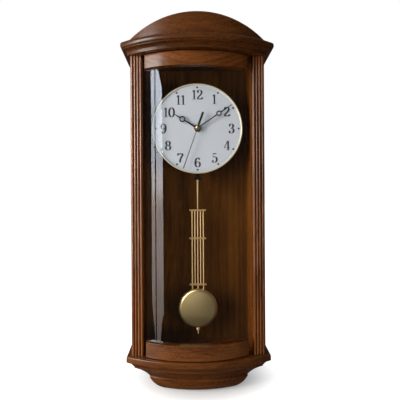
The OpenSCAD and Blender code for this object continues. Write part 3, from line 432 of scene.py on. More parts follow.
def wood(name, turn, shift, pale=None, deep=None, tone=1.0, ring_gap=6.0, ring_strength=0.35,
         mitre=None, gloss=0.25):
    """Lacquered walnut. tone darkens or lightens one board against its neighbours, on the columns
    and the right side as painted light and shade, and mitre is the half width and the front corner
    of a moulding, where its grain turns."""
    looks = bpy.context.scene.clock_wood
    material, tree = new_material(name)
    place = place_in_mm(tree, turn, shift)
    if mitre:
        place = place_group(tree, "Mitred grain", {
            "Place": place, "Side": mitre[0] / MM, "Corner": mitre[1] / MM})["Place"]
    grain = place_group(tree, "Walnut grain", {
        "Place": place, "Pale": tinted(pale or looks.pale, tone),
        "Deep": tinted(deep or looks.deep, tone), "Ring gap": ring_gap,
        "Ring strength": ring_strength, "Pores": looks.pores})
    show(tree, add_node(tree, PRINCIPLED, {
        "Base Color": grain["Colour"], "Roughness": grain["Roughness"],
        "Normal": bumped(tree, grain["Height"], WOOD_BUMP, 0.6), "Coat Weight": gloss,
        "Coat Roughness": looks.lacquer, "Specular IOR Level": gloss}))
    return material


def metal(name, tint, roughness, change=0.12, turn=ALONG, dark=0.82, metallic=1.0):
    """Brushed or plated metal. dark is how far the fine lines lower the colour."""
    material, tree = new_material(name)
    place = place_in_mm(tree, turn)
    lines = place_group(tree, "Brushed lines", {
        "Place": place, "Line width": METAL_LINE})["Lines"]
    worn = place_group(tree, "Handling", {
        "Place": place, "Roughness": roughness, "Change": change})
    show(tree, add_node(tree, PRINCIPLED, {
        "Base Color": mix_colours(tree, lines, tinted(tint), tinted(tint, dark)),
        "Roughness": worn["Roughness"], "Metallic": metallic,
        "Normal": bumped(tree, lines, METAL_BUMP, 0.4)}))
    return material


def bob_brass(name):
    """Brass of the bob, spun so that its fine lines run round its middle."""
    looks = bpy.context.scene.clock_metal
    material, tree = new_material(name)
    place = place_in_mm(tree, shift=(0.0, 0.0, -BOB_Z / MM))
    parts = parts_of(tree, place)
    turn = maths(tree, "ARCTAN2", parts[2], parts[0])
    spun = joined(tree, maths(tree, "MULTIPLY", turn, SPIN_RADIUS),
                  distance(tree, parts[0], parts[2]), 0.0)
    lines = place_group(tree, "Brushed lines", {"Place": spun, "Line width": BOB_LINE})["Lines"]
    worn = place_group(tree, "Handling", {
        "Place": place, "Roughness": looks.bob_gloss, "Change": 0.08})
    show(tree, add_node(tree, PRINCIPLED, {
        "Base Color": mix_colours(tree, lines, tinted(looks.brass), tinted(looks.brass, 0.86)),
        "Roughness": worn["Roughness"], "Metallic": BOB_METAL, "Coat Weight": 0.3,
        "Coat Roughness": 0.25, "Normal": bumped(tree, lines, METAL_BUMP, 0.5)}))
    return material


def moulded(name, tint, roughness=0.42, size=0.35, depth=0.01, lift=1.25, gloss=0.5, relief=0.5):
    """Moulded plastic, paint or pressed goods with a fine grain. depth is in millimetres."""
    material, tree = new_material(name)
    place = place_in_mm(tree)
    grain = place_group(tree, "Fine speckle", {"Place": place, "Size": size})
    worn = place_group(tree, "Handling", {
        "Place": place, "Roughness": roughness - HANDLING / 2, "Change": HANDLING})
    show(tree, add_node(tree, PRINCIPLED, {
        "Base Color": mix_colours(tree, worn["Mask"], tinted(tint), tinted(tint, lift)),
        "Roughness": worn["Roughness"], "Specular IOR Level": gloss,
        "Normal": bumped(tree, grain["Height"], depth * MM, relief)}))
    return material


def wound_wire(name, turn):
    """Enamelled copper wire wound side by side; x runs along the wire."""
    copper = bpy.context.scene.clock_metal.copper
    material, tree = new_material(name)
    turns = add_node(tree, "ShaderNodeTexWave", {
        "Vector": place_in_mm(tree, turn), "Scale": 1.6, "Distortion": 0.4},
        wave_type="BANDS", bands_direction="X").outputs["Fac"]
    show(tree, add_node(tree, PRINCIPLED, {
        "Base Color": mix_colours(tree, turns, tinted(copper, 0.45), tinted(copper)),
        "Metallic": 0.7, "Roughness": 0.35, "Normal": bumped(tree, turns, WIRE_BUMP, 0.8)}))
    return material


def cell_wrap(name):
    """Printed film of a dry cell: black towards one end, copper-gold over the rest."""
    material, tree = new_material(name)
    place = place_in_mm(tree)
    band = remap(tree, parts_of(tree, place)[0], *WRAP_BAND)
    worn = place_group(tree, "Handling", {
        "Place": place, "Roughness": 0.22, "Change": HANDLING})
    show(tree, add_node(tree, PRINCIPLED, {
        "Base Color": mix_colours(tree, band, WRAP_BLACK, WRAP_GOLD),
        "Roughness": worn["Roughness"], "Metallic": 0.5}))
    return material


def window_glass(name):
    """Clear bent glass that lets light and mirrored light through to what stands behind it."""
    material, tree = new_material(name)
    worn = place_group(tree, "Handling", {
        "Place": place_in_mm(tree), "Roughness": 0.0, "Change": 0.035})
    pane = add_node(tree, PRINCIPLED, {
        "Base Color": (0.965, 0.985, 0.975, 1.0), "Roughness": worn["Roughness"],
        "Transmission Weight": 1.0, "IOR": 1.5})
    path = tree.nodes.new("ShaderNodeLightPath").outputs
    in_pane = maths(tree, "COMPARE", path["Transmission Depth"], 1.0, 0.5)
    mirrored = maths(tree, "SUBTRACT", path["Is Glossy Ray"], maths(
        tree, "MAXIMUM", in_pane, path["Is Transmission Ray"]))
    passing = maths(tree, "MAXIMUM", mirrored, maths(
        tree, "MAXIMUM", path["Is Shadow Ray"], path["Is Diffuse Ray"]))
    clear = add_node(tree, "ShaderNodeBsdfTransparent", {"Color": (0.97, 0.985, 0.98, 1.0)})
    show(tree, add_node(tree, "ShaderNodeMixShader", {
        0: passing, 1: pane.outputs[0], 2: clear.outputs[0]}))
    return material


# Shaping

# Steps across an eased edge
EASE_STEPS = 2
# Part of a side wall's normal that lies in the dial's plane, at least
SIDE_WALL = 0.9
# Normals that differ by less point the same way
SAME_WAY = 0.02
# Least squared length of a corner's mean normal, so that sharp tips don't shoot out
TIP_LIMIT = 0.4
# Width of the strip beside a moulding's end in which its front corner lies
CORNER_STRIP = 2.5 * MM


def link_piece(name, shape, finish, body):
    """Makes a piece of a shape, with its finish and the body it rides on."""
    mesh = bpy.data.meshes.new(name)
    shape.to_mesh(mesh)
    shape.free()
    mesh.materials.append(finish)
    piece = bpy.data.objects.new(name, mesh)
    bpy.context.scene.collection.objects.link(piece)
    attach(piece, body)
    return piece


def body_of(node):
    """Body that a CAD node belongs to."""
    bodies = frame["record"]["behaviour"]["bodies"]
    return next(body for body, nodes in bodies.items() if node in nodes)


def paint_nodes(finish, *nodes):
    """Gives CAD nodes their finish."""
    for node in nodes:
        mesh = frame["nodes"][node].data
        mesh.materials.clear()
        mesh.materials.append(finish)


def ease_edges(piece, width):
    """Rounds the sharp edges of a piece and shades it smoothly."""
    bevel = piece.modifiers.new("Eased edges", "BEVEL")
    bevel.width = width
    bevel.segments = EASE_STEPS
    bevel.limit_method = "ANGLE"
    bevel.angle_limit = SHARP
    bevel.use_clamp_overlap = False
    bevel.miter_outer = "MITER_ARC"
    even = piece.modifiers.new("Even shading", "WEIGHTED_NORMAL")
    even.keep_sharp = True
    for face in piece.data.polygons:
        face.use_smooth = True


def widen(shape, amount, clear_of):
    """Widens a flat piece in the dial's plane, apart from what lies near the dial's centre."""
    moves = []
    for v in shape.verts:
        sides = []
        for face in v.link_faces:
            n = Vector((face.normal.x, 0.0, face.normal.z))
            if n.length > SIDE_WALL and all((n - other).length > SAME_WAY for other in sides):
                sides.append(n.normalized())
        if math.hypot(v.co.x - DIAL_X, v.co.z - DIAL_Z) > clear_of and sides:
            whole = sum(sides, Vector()) / len(sides)
            moves.append((v, whole * amount / max(whole.length_squared, TIP_LIMIT)))
    for v, move in moves:
        v.co += move


def eased_copy(node, finish, width, wider=0.0, clear_of=0.0):
    """Stands for a CAD node, with its edges eased as a maker's sandpaper leaves them."""
    shape = bmesh.new()
    shape.from_mesh(frame["nodes"][node].data)
    bmesh.ops.remove_doubles(shape, verts=shape.verts, dist=WELD)
    bmesh.ops.dissolve_limit(shape, angle_limit=FLAT, verts=shape.verts, edges=shape.edges,
                             use_dissolve_boundaries=False)
    if wider:
        widen(shape, wider, clear_of)
    piece = link_piece(node + "_eased", shape, finish, body_of(node))
    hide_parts(node)
    ease_edges(piece, width)


def mitre_of(node):
    """Half width of a bowed moulding and how far out its front corners stand."""
    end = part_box(node)[1].x
    strip = [v.co.y for v in frame["nodes"][node].data.vertices if v.co.x > end - CORNER_STRIP]
    return end, -min(strip)


# Printed numbers

# Half widths of a pen stroke that runs across and one that runs up, in number heights
THIN = 0.025
THICK = 0.081
# Half width of a slanting hair line at its thickest
HAIR = 1.4 * THIN
# How late a stroke swells as it turns from across to up
SWELL = 1.6
# Steps between two points of a stroke
STROKE_STEPS = 7

# Width and strokes of each number, in number heights from its lower left corner. A pen stroke
# or a thin hair is a list of points, a bar gives its two corners, a loop its centre and radii,
# and a dot its centre and radius.
NUMBERS = {
    "0": (0.56, [("loop", (0.28, 0.5), (0.205, 0.484))]),
    "1": (0.40, [("bar", (0.145, 0.02), (0.275, 0.985)), ("bar", (0.04, 0.0), (0.38, 0.034)),
                 ("pen", [(0.05, 0.83), (0.13, 0.87), (0.21, 0.965)])]),
    "2": (0.54, [("pen", [(0.10, 0.75), (0.13, 0.92), (0.27, 0.983), (0.40, 0.90),
                          (0.435, 0.74), (0.37, 0.53), (0.20, 0.30), (0.07, 0.10)]),
                 ("bar", (0.055, 0.0), (0.47, 0.105)), ("dot", (0.135, 0.745), 0.072),
                 ("pen", [(0.455, 0.05), (0.485, 0.13), (0.495, 0.22)])]),
    "3": (0.54, [("pen", [(0.11, 0.80), (0.15, 0.94), (0.26, 0.983), (0.39, 0.90),
                          (0.41, 0.75), (0.36, 0.60), (0.22, 0.525)]),
                 ("pen", [(0.22, 0.525), (0.40, 0.46), (0.455, 0.27), (0.39, 0.08),
                          (0.24, 0.017), (0.12, 0.07), (0.09, 0.20)]),
                 ("dot", (0.125, 0.785), 0.066), ("dot", (0.125, 0.215), 0.066)]),
    "4": (0.56, [("bar", (0.31, 0.02), (0.44, 0.985)), ("bar", (0.02, 0.245), (0.53, 0.285)),
                 ("bar", (0.22, 0.0), (0.52, 0.034)),
                 ("hair", [(0.035, 0.265), (0.20, 0.62), (0.33, 0.97)])]),
    "5": (0.54, [("bar", (0.115, 0.55), (0.15, 0.98)), ("bar", (0.115, 0.885), (0.42, 0.985)),
                 ("pen", [(0.125, 0.55), (0.25, 0.625), (0.40, 0.53), (0.455, 0.31),
                          (0.38, 0.09), (0.23, 0.017), (0.12, 0.07), (0.09, 0.20)]),
                 ("dot", (0.125, 0.205), 0.066)]),
    "6": (0.56, [("pen", [(0.43, 0.84), (0.38, 0.955), (0.29, 0.983), (0.16, 0.85),
                          (0.095, 0.60), (0.09, 0.32), (0.16, 0.09), (0.28, 0.017)]),
                 ("pen", [(0.28, 0.017), (0.41, 0.09), (0.47, 0.30), (0.42, 0.50),
                          (0.30, 0.575), (0.17, 0.50), (0.11, 0.38)]),
                 ("dot", (0.40, 0.825), 0.062)]),
    "7": (0.52, [("bar", (0.055, 0.875), (0.47, 0.98)),
                 ("pen", [(0.455, 0.90), (0.36, 0.66), (0.255, 0.40), (0.22, 0.20),
                          (0.22, 0.03)]),
                 ("pen", [(0.07, 0.96), (0.045, 0.85), (0.04, 0.76)])]),
    "8": (0.54, [("loop", (0.27, 0.745), (0.155, 0.235)), ("loop", (0.27, 0.27), (0.19, 0.25))]),
}
# The nine is the six turned upside down
NUMBERS["9"] = NUMBERS["6"]


# How much higher each stroke of a number lies than the last, as a share of the ink's height
LAYER_STEP = 0.06
# Corners of printed ink closer than this are one
INK_WELD = 0.001 * MM
# Hair lines of the minute track: half the gap between them, their width, half a tick's width
TRACK_HALF = 0.9 * MM
TRACK_LINE = 0.14 * MM
TICK_HALF = 0.09 * MM
# Heights of the track's lines and ticks, as shares of the ink's height
LINE_HEIGHT = 0.8
TICK_HEIGHT = 0.7
# Ends of a stroke that lie closer than this, in number heights, close it
CLOSED = 1e-6
# Steps round a dot within a number, an hour dot and a line of the track
SMALL_DOT_STEPS = 20
HOUR_DOT_STEPS = 24
TRACK_STEPS = 180


def smooth_path(points):
    """Points along a Catmull-Rom curve through the points given."""
    last = len(points) - 1
    path = []
    for i in range(last):
        before, start = Vector(points[max(i - 1, 0)]), Vector(points[i])
        end, after = Vector(points[i + 1]), Vector(points[min(i + 2, last)])
        for step in range(STROKE_STEPS):
            t = step / STROKE_STEPS
            path.append(0.5 * (2 * start + (end - before) * t
                               + (2 * before - 5 * start + 4 * end - after) * t ** 2
                               + (3 * start - before - 3 * end + after) * t ** 3))
    path.append(Vector(points[last]))
    return path


def oval_path(centre, radii, steps=40):
    """Closed path round an oval."""
    return [Vector((centre[0] + radii[0] * math.cos(2 * math.pi * i / steps),
                    centre[1] + radii[1] * math.sin(2 * math.pi * i / steps)))
            for i in range(steps + 1)]


def dot_edges(centre, radius, steps):
    """Upper and lower half of a dot's edge."""
    arc = oval_path(centre, (radius, radius), steps)
    half = steps // 2
    return arc[:half + 1], [arc[0]] + arc[:half:-1]


def pen_edges(path, thick):
    """Left and right edges of a pen stroke that is thick where it runs up or down."""
    left, right = [], []
    closed = (path[0] - path[-1]).length < CLOSED
    for i, point in enumerate(path):
        before = path[i - 1] if i > 0 else (path[-2] if closed else point)
        after = path[i + 1] if i < len(path) - 1 else (path[1] if closed else point)
        along = (after - before).normalized()
        half = THIN + (thick - THIN) * abs(along.y) ** SWELL
        side = Vector((-along.y, along.x)) * half
        left.append(point + side)
        right.append(point - side)
    return left, right


def digit_shapes(digit):
    """Flat shapes of one digit, each as rows of left and right points."""
    width, strokes = NUMBERS[digit]
    shapes = []
    for kind, *facts in strokes:
        if kind == "pen":
            shapes.append(pen_edges(smooth_path(facts[0]), THICK))
        elif kind == "hair":
            shapes.append(pen_edges(smooth_path(facts[0]), HAIR))
        elif kind == "loop":
            shapes.append(pen_edges(oval_path(*facts), THICK))
        elif kind == "bar":
            (x0, z0), (x1, z1) = facts
            shapes.append(([Vector((x0, z0)), Vector((x0, z1))],
                           [Vector((x1, z0)), Vector((x1, z1))]))
        elif kind == "dot":
            shapes.append(dot_edges(*facts, SMALL_DOT_STEPS))
    if digit == "9":
        over = Vector((width, 1.0))
        return [tuple([over - point for point in row] for row in shape) for shape in shapes]
    return shapes


def print_strip(shape, left, right, height):
    """Adds a strip of ink with its sides and underside, between two rows of points."""
    rows = []
    for a, b in zip(left, right):
        low = [shape.verts.new((*p, 0.0)) for p in (a, b)]
        high = [shape.verts.new((*p, height)) for p in (a, b)]
        rows.append((low[0], low[1], high[1], high[0]))
    for one, two in zip(rows, rows[1:]):
        for k in range(4):
            shape.faces.new((one[k], one[(k + 1) % 4], two[(k + 1) % 4], two[k]))
    shape.faces.new(rows[0])
    shape.faces.new(rows[-1])


def ink_piece(name, shape, finish):
    """Turns printed shapes, drawn in x, z and depth, into a piece on the dial."""
    bmesh.ops.remove_doubles(shape, verts=shape.verts, dist=INK_WELD)
    bmesh.ops.dissolve_degenerate(shape, edges=shape.edges, dist=INK_WELD)
    for v in shape.verts:
        v.co = Vector((DIAL_X + v.co.x, DIAL_FACE - v.co.z, DIAL_Z + v.co.y))
    bmesh.ops.recalc_face_normals(shape, faces=shape.faces)
    link_piece(name, shape, finish, "case")


def towards(angle):
    """Direction on the dial at an angle from the twelve, in degrees."""
    return Vector((math.sin(math.radians(angle)), math.cos(math.radians(angle))))


def print_number(hour, finish):
    """Prints an hour number, upright and centred on its place."""
    looks = bpy.context.scene.clock_dial
    high = looks.number_height
    wide = high * looks.number_spread
    digits = str(hour)
    out = towards(30 * hour)
    centre = out * (looks.number_ring - looks.number_pull * (len(digits) - 1) * abs(out.x))
    start = -sum(NUMBERS[digit][0] for digit in digits) / 2
    ink = looks.print_height
    shape = bmesh.new()
    for digit in digits:
        for edges in digit_shapes(digit):
            left, right = ([(centre.x + (start + p.x) * wide, centre.y + (p.y - 0.5) * high)
                            for p in edge] for edge in edges)
            print_strip(shape, left, right, ink)
            ink += looks.print_height * LAYER_STEP
        start += NUMBERS[digit][0]
    ink_piece(f"hour_number_{hour:02d}", shape, finish)


def print_dots(finish):
    """Prints the hour dots."""
    looks = bpy.context.scene.clock_dial
    shape = bmesh.new()
    for hour in range(12):
        edges = dot_edges(towards(30 * hour) * looks.dot_ring, looks.dot_size / 2, HOUR_DOT_STEPS)
        print_strip(shape, *edges, looks.print_height)
    ink_piece("hour_dots", shape, finish)


def print_track(finish):
    """Prints the minute track: two hair lines with a tick for each minute between them."""
    looks = bpy.context.scene.clock_dial
    shape = bmesh.new()
    for middle in (looks.track_ring - TRACK_HALF, looks.track_ring + TRACK_HALF):
        inner, outer = (oval_path((0, 0), (radius, radius), TRACK_STEPS)
                        for radius in (middle - TRACK_LINE / 2, middle + TRACK_LINE / 2))
        for i in range(TRACK_STEPS):
            print_strip(shape, inner[i:i + 2], outer[i:i + 2], looks.print_height * LINE_HEIGHT)
    for minute in range(60):
        if minute % 5 == 0:
            continue
        out = towards(6 * minute)
        side = Vector((out.y, -out.x)) * TICK_HALF
        ends = [out * (looks.track_ring + k * TRACK_HALF) for k in (-1, 1)]
        print_strip(shape, [e - side for e in ends], [e + side for e in ends],
                    looks.print_height * TICK_HEIGHT)
    ink_piece("minute_track", shape, finish)


# Operators, one for each piece or group of like pieces

# How far the painted edges of the hands stand out, and the radius of the hub that they spare
HAND_WIDER = 0.45 * MM
SECOND_WIDER = 0.6 * MM
HUB_CLEAR = 4.5 * MM

# How far each edge of the stem draws in, where it lies further than this from the dial's centre
STEM_TAPER = 0.8 * MM
STEM_CLEAR = 96 * MM

# Widths of the eased edges of small pieces
EDGE_SECOND = 0.08 * MM
EDGE_HAND = 0.12 * MM
EDGE_GLASS = 0.2 * MM
EDGE_BAR = 0.25 * MM
EDGE_ARM = 0.3 * MM
EDGE_SHELL = 0.35 * MM


def walnut_board(node, turn, shift, **grain):
    """Finishes a board or moulding in a piece of walnut of its own, shifted in millimetres."""
    finish = wood(node + "_walnut", turn, shift, **grain)
    eased_copy(node, finish, bpy.context.scene.clock_wood.eased)


class CLOCK_OT_groups(bpy.types.Operator):
    """Builds the shader effects that several finishes share"""
    bl_idname = "clock.groups"
    bl_label = "Shared effects"

    def execute(self, context):
        """Builds each node group once."""
        build_grain_group()
        build_mitre_group()
        build_handling_group()
        build_brushing_group()
        build_speckle_group()
        return {"FINISHED"}


class CLOCK_OT_case(bpy.types.Operator):
    """Boards, columns and backboard of the case"""
    bl_idname = "clock.case"
    bl_label = "Case"

    def execute(self, context):
        """Finishes the upright boards with the grain running up them."""
        looks = context.scene.clock_wood
        # The left column is lightened and the right column darkened as painted light and shade of
        # the soft box on the left, and the right side is lightened as painted light on its inner
        # face
        for node, shift, tone, gloss in (("left_side", (0, 40, 15), 0.95, 0.2),
                                         ("right_side", (0, 90, 70), 1.3, 0.5),
                                         ("left_column", (0, 20, 33), 1.25, 0.7),
                                         ("right_column", (0, 75, 21), 0.75, 0.3)):
            walnut_board(node, UPRIGHT, shift, tone=tone, gloss=gloss)
        veneer = wood("backboard_veneer", UPRIGHT, (0, 64, 12), looks.inside, looks.inside_deep,
                      ring_gap=9.0, ring_strength=0.3, gloss=0.0)
        eased_copy("backboard", veneer, looks.eased_fine)
        carcass = wood("carcass_walnut", ALONG, (5, 20, 9), tone=0.6)
        for node in ("top_board", "mount_cheeks", "dial_board"):
            eased_copy(node, carcass, looks.eased_fine)
        return {"FINISHED"}


class CLOCK_OT_mouldings(bpy.types.Operator):
    """Cornice, crown and the stacked base"""
    bl_idname = "clock.mouldings"
    bl_label = "Mouldings"

    def execute(self, context):
        """Finishes the mouldings, with the grain turned at their mitres."""
        for node, shift, tone in (("cornice", 0, 0.5), ("base_plate", 37, 0.72),
                                  ("base_cove", 74, 0.66), ("base_slope", 111, 0.66),
                                  ("base_foot", 148, 0.78)):
            walnut_board(node, ALONG, (0, 0, shift), tone=tone, ring_strength=0.2,
                         mitre=mitre_of(node))
        for node, shift, tone in (("crown_face", (30, 0, 26), 0.62),
                                  ("crown_roof", (10, 40, 60), 0.62),
                                  ("crown_back", (0, 10, 80), 0.5)):
            walnut_board(node, ALONG, shift, tone=tone, ring_strength=0.15)
        return {"FINISHED"}


class CLOCK_OT_door(bpy.types.Operator):
    """Rails, beads, glass, pins and strike plate of the bowed door"""
    bl_idname = "clock.door"
    bl_label = "Door"

    def execute(self, context):
        """Finishes the door."""
        walnut_board("door_top_rail", ALONG, (60, 0, 45), tone=0.85)
        walnut_board("door_bottom_rail", ALONG, (0, 0, 96), tone=0.85, gloss=0.45)
        beading = wood("bead_walnut", ALONG, (0, 30, 15), tone=0.6)
        eased_copy("glass_beads", beading, context.scene.clock_wood.eased_fine)
        eased_copy("door_glass", window_glass("bent_glass"), EDGE_GLASS)
        steel = metal("plated_steel", context.scene.clock_metal.steel, 0.24)
        paint_nodes(steel, "door_pins", "strike_plate")
        return {"FINISHED"}


class CLOCK_OT_fittings(bpy.types.Operator):
    """Hanger plate, screws, bushes and the magnet catch"""
    bl_idname = "clock.fittings"
    bl_label = "Fittings"

    def execute(self, context):
        """Finishes the metal and plastic fittings of the case."""
        steel = bpy.data.materials["plated_steel"]
        paint_nodes(steel, "hanger_plate", "wood_screws", "catch_magnet")
        paint_nodes(metal("bush_brass", context.scene.clock_metal.brass, 0.3), "pivot_bushes")
        paint_nodes(moulded("catch_plastic", (0.022, 0.018, 0.016), 0.5), "catch_body")
        return {"FINISHED"}


class CLOCK_OT_movement(bpy.types.Operator):
    """Movement with its wheels, cells, board, coils and buttons"""
    bl_idname = "clock.movement"
    bl_label = "Movement"

    def execute(self, context):
        """Finishes everything in and on the movement's moulded case."""
        shell = moulded("movement_plastic", (0.018, 0.018, 0.02), 0.45, 0.5, 0.02)
        for node in ("movement_case", "movement_back"):
            eased_copy(node, shell, EDGE_SHELL)
        brass = metal("turned_brass", context.scene.clock_metal.brass, 0.2, 0.08, OUTWARD)
        paint_nodes(brass, "centre_bush", "dial_nut", "minute_arbor", "hour_wheel",
                    "motion_wheel")
        steel = bpy.data.materials["plated_steel"]
        paint_nodes(steel, "second_arbor", "pivot_pin", "battery_contacts")
        paint_nodes(cell_wrap("cell_wrap_film"), "batteries")
        board = moulded("circuit_lacquer", (0.012, 0.085, 0.035), 0.3, 0.4)
        paint_nodes(board, "circuit_board")
        paint_nodes(wound_wire("motor_wire", UPRIGHT), "motor_coils")
        paint_nodes(wound_wire("pendulum_wire", OUTWARD), "pendulum_coil")
        paint_nodes(wound_wire("antenna_wire", ALONG), "antenna_winding")
        paint_nodes(moulded("ferrite", (0.03, 0.031, 0.034), 0.5, 0.3, 0.02), "ferrite_rod")
        button = moulded("button_plastic", (0.62, 0.62, 0.58), 0.4)
        paint_nodes(button, "signal_button", "reset_button")
        return {"FINISHED"}


class CLOCK_OT_dial(bpy.types.Operator):
    """Dial plate, gilt bezel, hour numbers, dots and minute track"""
    bl_idname = "clock.dial"
    bl_label = "Dial"

    def execute(self, context):
        """Paints the dial and prints its numbers and marks."""
        looks = context.scene.clock_dial
        paint = moulded("dial_white_paint", looks.paint, 0.51, 0.6, 0.006, 0.96, relief=0.4)
        paint_nodes(paint, "dial_plate")
        gilt = metal("bezel_gilt", context.scene.clock_metal.bezel, 0.3, 0.06, dark=0.95,
                     metallic=BEZEL_METAL)
        paint_nodes(gilt, "dial_bezel")
        ink = moulded("dial_ink", looks.ink, 0.5, 0.3, 0.002)
        for hour in range(1, 13):
            print_number(hour, ink)
        print_dots(ink)
        print_track(moulded("track_ink", looks.track_ink, 0.5, 0.3, 0.002, 1.05))
        return {"FINISHED"}


class CLOCK_OT_hands(bpy.types.Operator):
    """Minute, hour and second hands and the gilt cap"""
    bl_idname = "clock.hands"
    bl_label = "Hands"

    def execute(self, context):
        """Finishes the hands with eased edges."""
        black = moulded("hand_lacquer", (0.014, 0.014, 0.016), 0.32, 0.3, 0.002)
        for node in ("minute_hand", "hour_hand"):
            eased_copy(node, black, EDGE_HAND, HAND_WIDER, HUB_CLEAR)
        slim = moulded("second_hand_lacquer", (0.016, 0.017, 0.020), 0.35, 0.3, 0.002)
        eased_copy("second_hand", slim, EDGE_SECOND, SECOND_WIDER, HUB_CLEAR)
        gilt = metal("cap_gilt", context.scene.clock_metal.cap, 0.2, 0.05, OUTWARD, 0.95,
                     CAP_METAL)
        paint_nodes(gilt, "second_cap")
        return {"FINISHED"}


class CLOCK_OT_pendulum(bpy.types.Operator):
    """Arm, stem, crossbars, rods, bob and rating nut"""
    bl_idname = "clock.pendulum"
    bl_label = "Pendulum"

    def execute(self, context):
        """Finishes the pendulum."""
        metals = context.scene.clock_metal
        drawn = metal("drawn_brass", metals.rods, metals.brass_gloss, 0.1, UPRIGHT, 0.9, SATIN)
        paint_nodes(drawn, "pendulum_rods", "rating_nut")
        eased_copy("pendulum_stem", drawn, EDGE_HAND, -STEM_TAPER, STEM_CLEAR)
        rolled = metal("rolled_brass", metals.bars, metals.brass_gloss, 0.1, ALONG, 0.9, SATIN)
        eased_copy("pendulum_bars", rolled, EDGE_BAR)
        paint_nodes(bob_brass("spun_brass"), "bob_shell")
        weight = moulded("cast_weight", (0.06, 0.058, 0.055), 0.6, 1.2, 0.08)
        paint_nodes(weight, "bob_core")
        dull = moulded("arm_plastic", (0.012, 0.008, 0.005), 0.6, gloss=0.05)
        eased_copy("pendulum_arm", dull, EDGE_ARM)
        paint_nodes(bpy.data.materials["plated_steel"], "pendulum_magnet")
        return {"FINISHED"}


# Studio

# Camera, fitted to the photograph: where it stands, and how far it turns and leans
CAMERA_AT = Vector((-0.0145, -0.811, -0.215))
CAMERA_TURN = math.radians(1.43)
CAMERA_LEAN = math.radians(0.33)

# Soft box on the left: its direction from the middle of the clock, distance, width and height
CLOCK_MIDDLE = Vector((0.0, -0.05, -0.2))
KEY_FROM = math.radians(55)
KEY_AWAY = 1.7
KEY_RISE = 0.12
KEY_SIZES = (0.62, 1.25)
KEY_TINT = (1.0, 0.985, 0.96)

# Dim panel on the far left that only shines in the lacquer's gloss, its power in watts
SIDE_AT = (-1.6, -0.4, -0.2)
SIDE_AIM = (0.0, -0.1, -0.2)
SIDE_SIZES = (1.8, 2.4)
SIDE_POWER = 4.5

# Light on the backboard, from the right
INNER_AT = (1.25, -1.3, -0.75)
INNER_AIM = (-0.05, 0.0, -0.36)
INNER_SIZES = (0.8, 0.9)
INNER_TINT = (1.0, 0.97, 0.93)

# Lights that the brass mirrors: name, place, width and height, power in watts
BRASS_LIGHTS = (("brass_side", (-0.95, -0.70, 0.30), (1.5, 1.5), 30.0),
                ("brass_front", (-0.42, -1.25, -0.42), (1.1, 0.5), 1.6),
                ("brass_band", (-0.10, -1.25, -0.86), (1.0, 0.07), 0.15))
BRASS_AIM = (0.0, -0.05, BOB_Z)
BRASS_TINT = (1.0, 0.96, 0.90)
BRIGHT_BRASS = ("bob_shell", "pendulum_rods", "pendulum_stem_eased", "pendulum_bars_eased",
                "rating_nut", "second_cap")
GLASS = ("door_glass_eased",)

# Outlines of two panels that the glass mirrors, across and up, in metres
PANELS = (((-0.17, 0.78), (-0.17, -0.60), (-0.022, -0.83), (-0.022, 0.78)),
          ((0.026, 0.78), (0.026, -0.83), (0.18, -0.83), (0.25, -0.72), (0.33, -0.68),
           (0.33, -0.2), (0.30, 0.64), (0.09, 0.76), (0.07, 0.78)))
# Where the panels grow brighter on their way up: from, to, strength before and after
PANEL_STEPS = ((-0.85, -0.2, 2.4, 4.8), (-0.09, 0.09, 0.0, 4.9), (0.46, 0.60, 0.0, 4.4))
# Where their tint goes over from warm to cool, and both tints
PANEL_TURN = (-0.08, 0.30)
PANEL_WARM = (1.0, 0.86, 0.81, 1.0)
PANEL_COOL = (0.82, 0.89, 1.0, 1.0)

# What gloss and glass see of the room's back, left side and ceiling: from and to which
# direction, and how bright at both
ROOM_BACK = (0.3, 0.7, 0.0, 0.04)
ROOM_LEFT = (-0.6, -1.0, 0.03, 0.05)
ROOM_TOP = (0.3, 0.95, 0.0, 0.22)
# The same for the light that the room throws on the clock, as shares of the fill
FILL_LEFT = (0.9, -0.9, 0.05, 1.7)
FILL_FRONT = (-0.5, -0.95, 0.0, 1.25)
# Directions between which a ray that came through the glass meets the white wall
WALL_FROM = (-0.1, 0.1)

# Half the floor's width, how far it lies under the clock's foot, and its paper
FLOOR_HALF = 30.0
FLOOR_GAP = 0.0005
FLOOR_PAPER = (0.80, 0.80, 0.80, 1.0)
# Where the floor fades into the wall round the foot, in metres, and how bright it is there
FLOOR_FADE = (0.06, 0.17, 0.2, 1.0)
FLOOR_OVAL = (0.9, 1.0, 1.0)


def add_object(name, data):
    """Adds an object of the studio to the scene."""
    made = bpy.data.objects.new(name, data)
    bpy.context.scene.collection.objects.link(made)
    return made


def make_camera(focal):
    """Camera at the photograph's angle."""
    view = add_object("camera", bpy.data.cameras.new("camera"))
    forward = Vector((math.sin(CAMERA_TURN), math.cos(CAMERA_TURN), 0.0))
    level = Vector((math.cos(CAMERA_TURN), -math.sin(CAMERA_TURN), 0.0))
    upright = Vector((0.0, 0.0, 1.0))
    right = level * math.cos(CAMERA_LEAN) - upright * math.sin(CAMERA_LEAN)
    up = upright * math.cos(CAMERA_LEAN) + level * math.sin(CAMERA_LEAN)
    turn = Matrix((right, up, -forward)).transposed()
    view.matrix_world = Matrix.Translation(CAMERA_AT) @ turn.to_4x4()
    view.data.lens = focal
    view.data.sensor_width = 36.0
    view.data.clip_start = 0.01
    bpy.context.scene.camera = view


def reach(light, state, pieces):
    """Lets a light reach only some pieces, or everything but them."""
    group = bpy.data.collections.new(light.name + "_reach")
    for number, piece in enumerate(pieces):
        group.objects.link(bpy.data.objects[piece])
        group.collection_objects[number].light_linking.link_state = state
    light.light_linking.receiver_collection = group


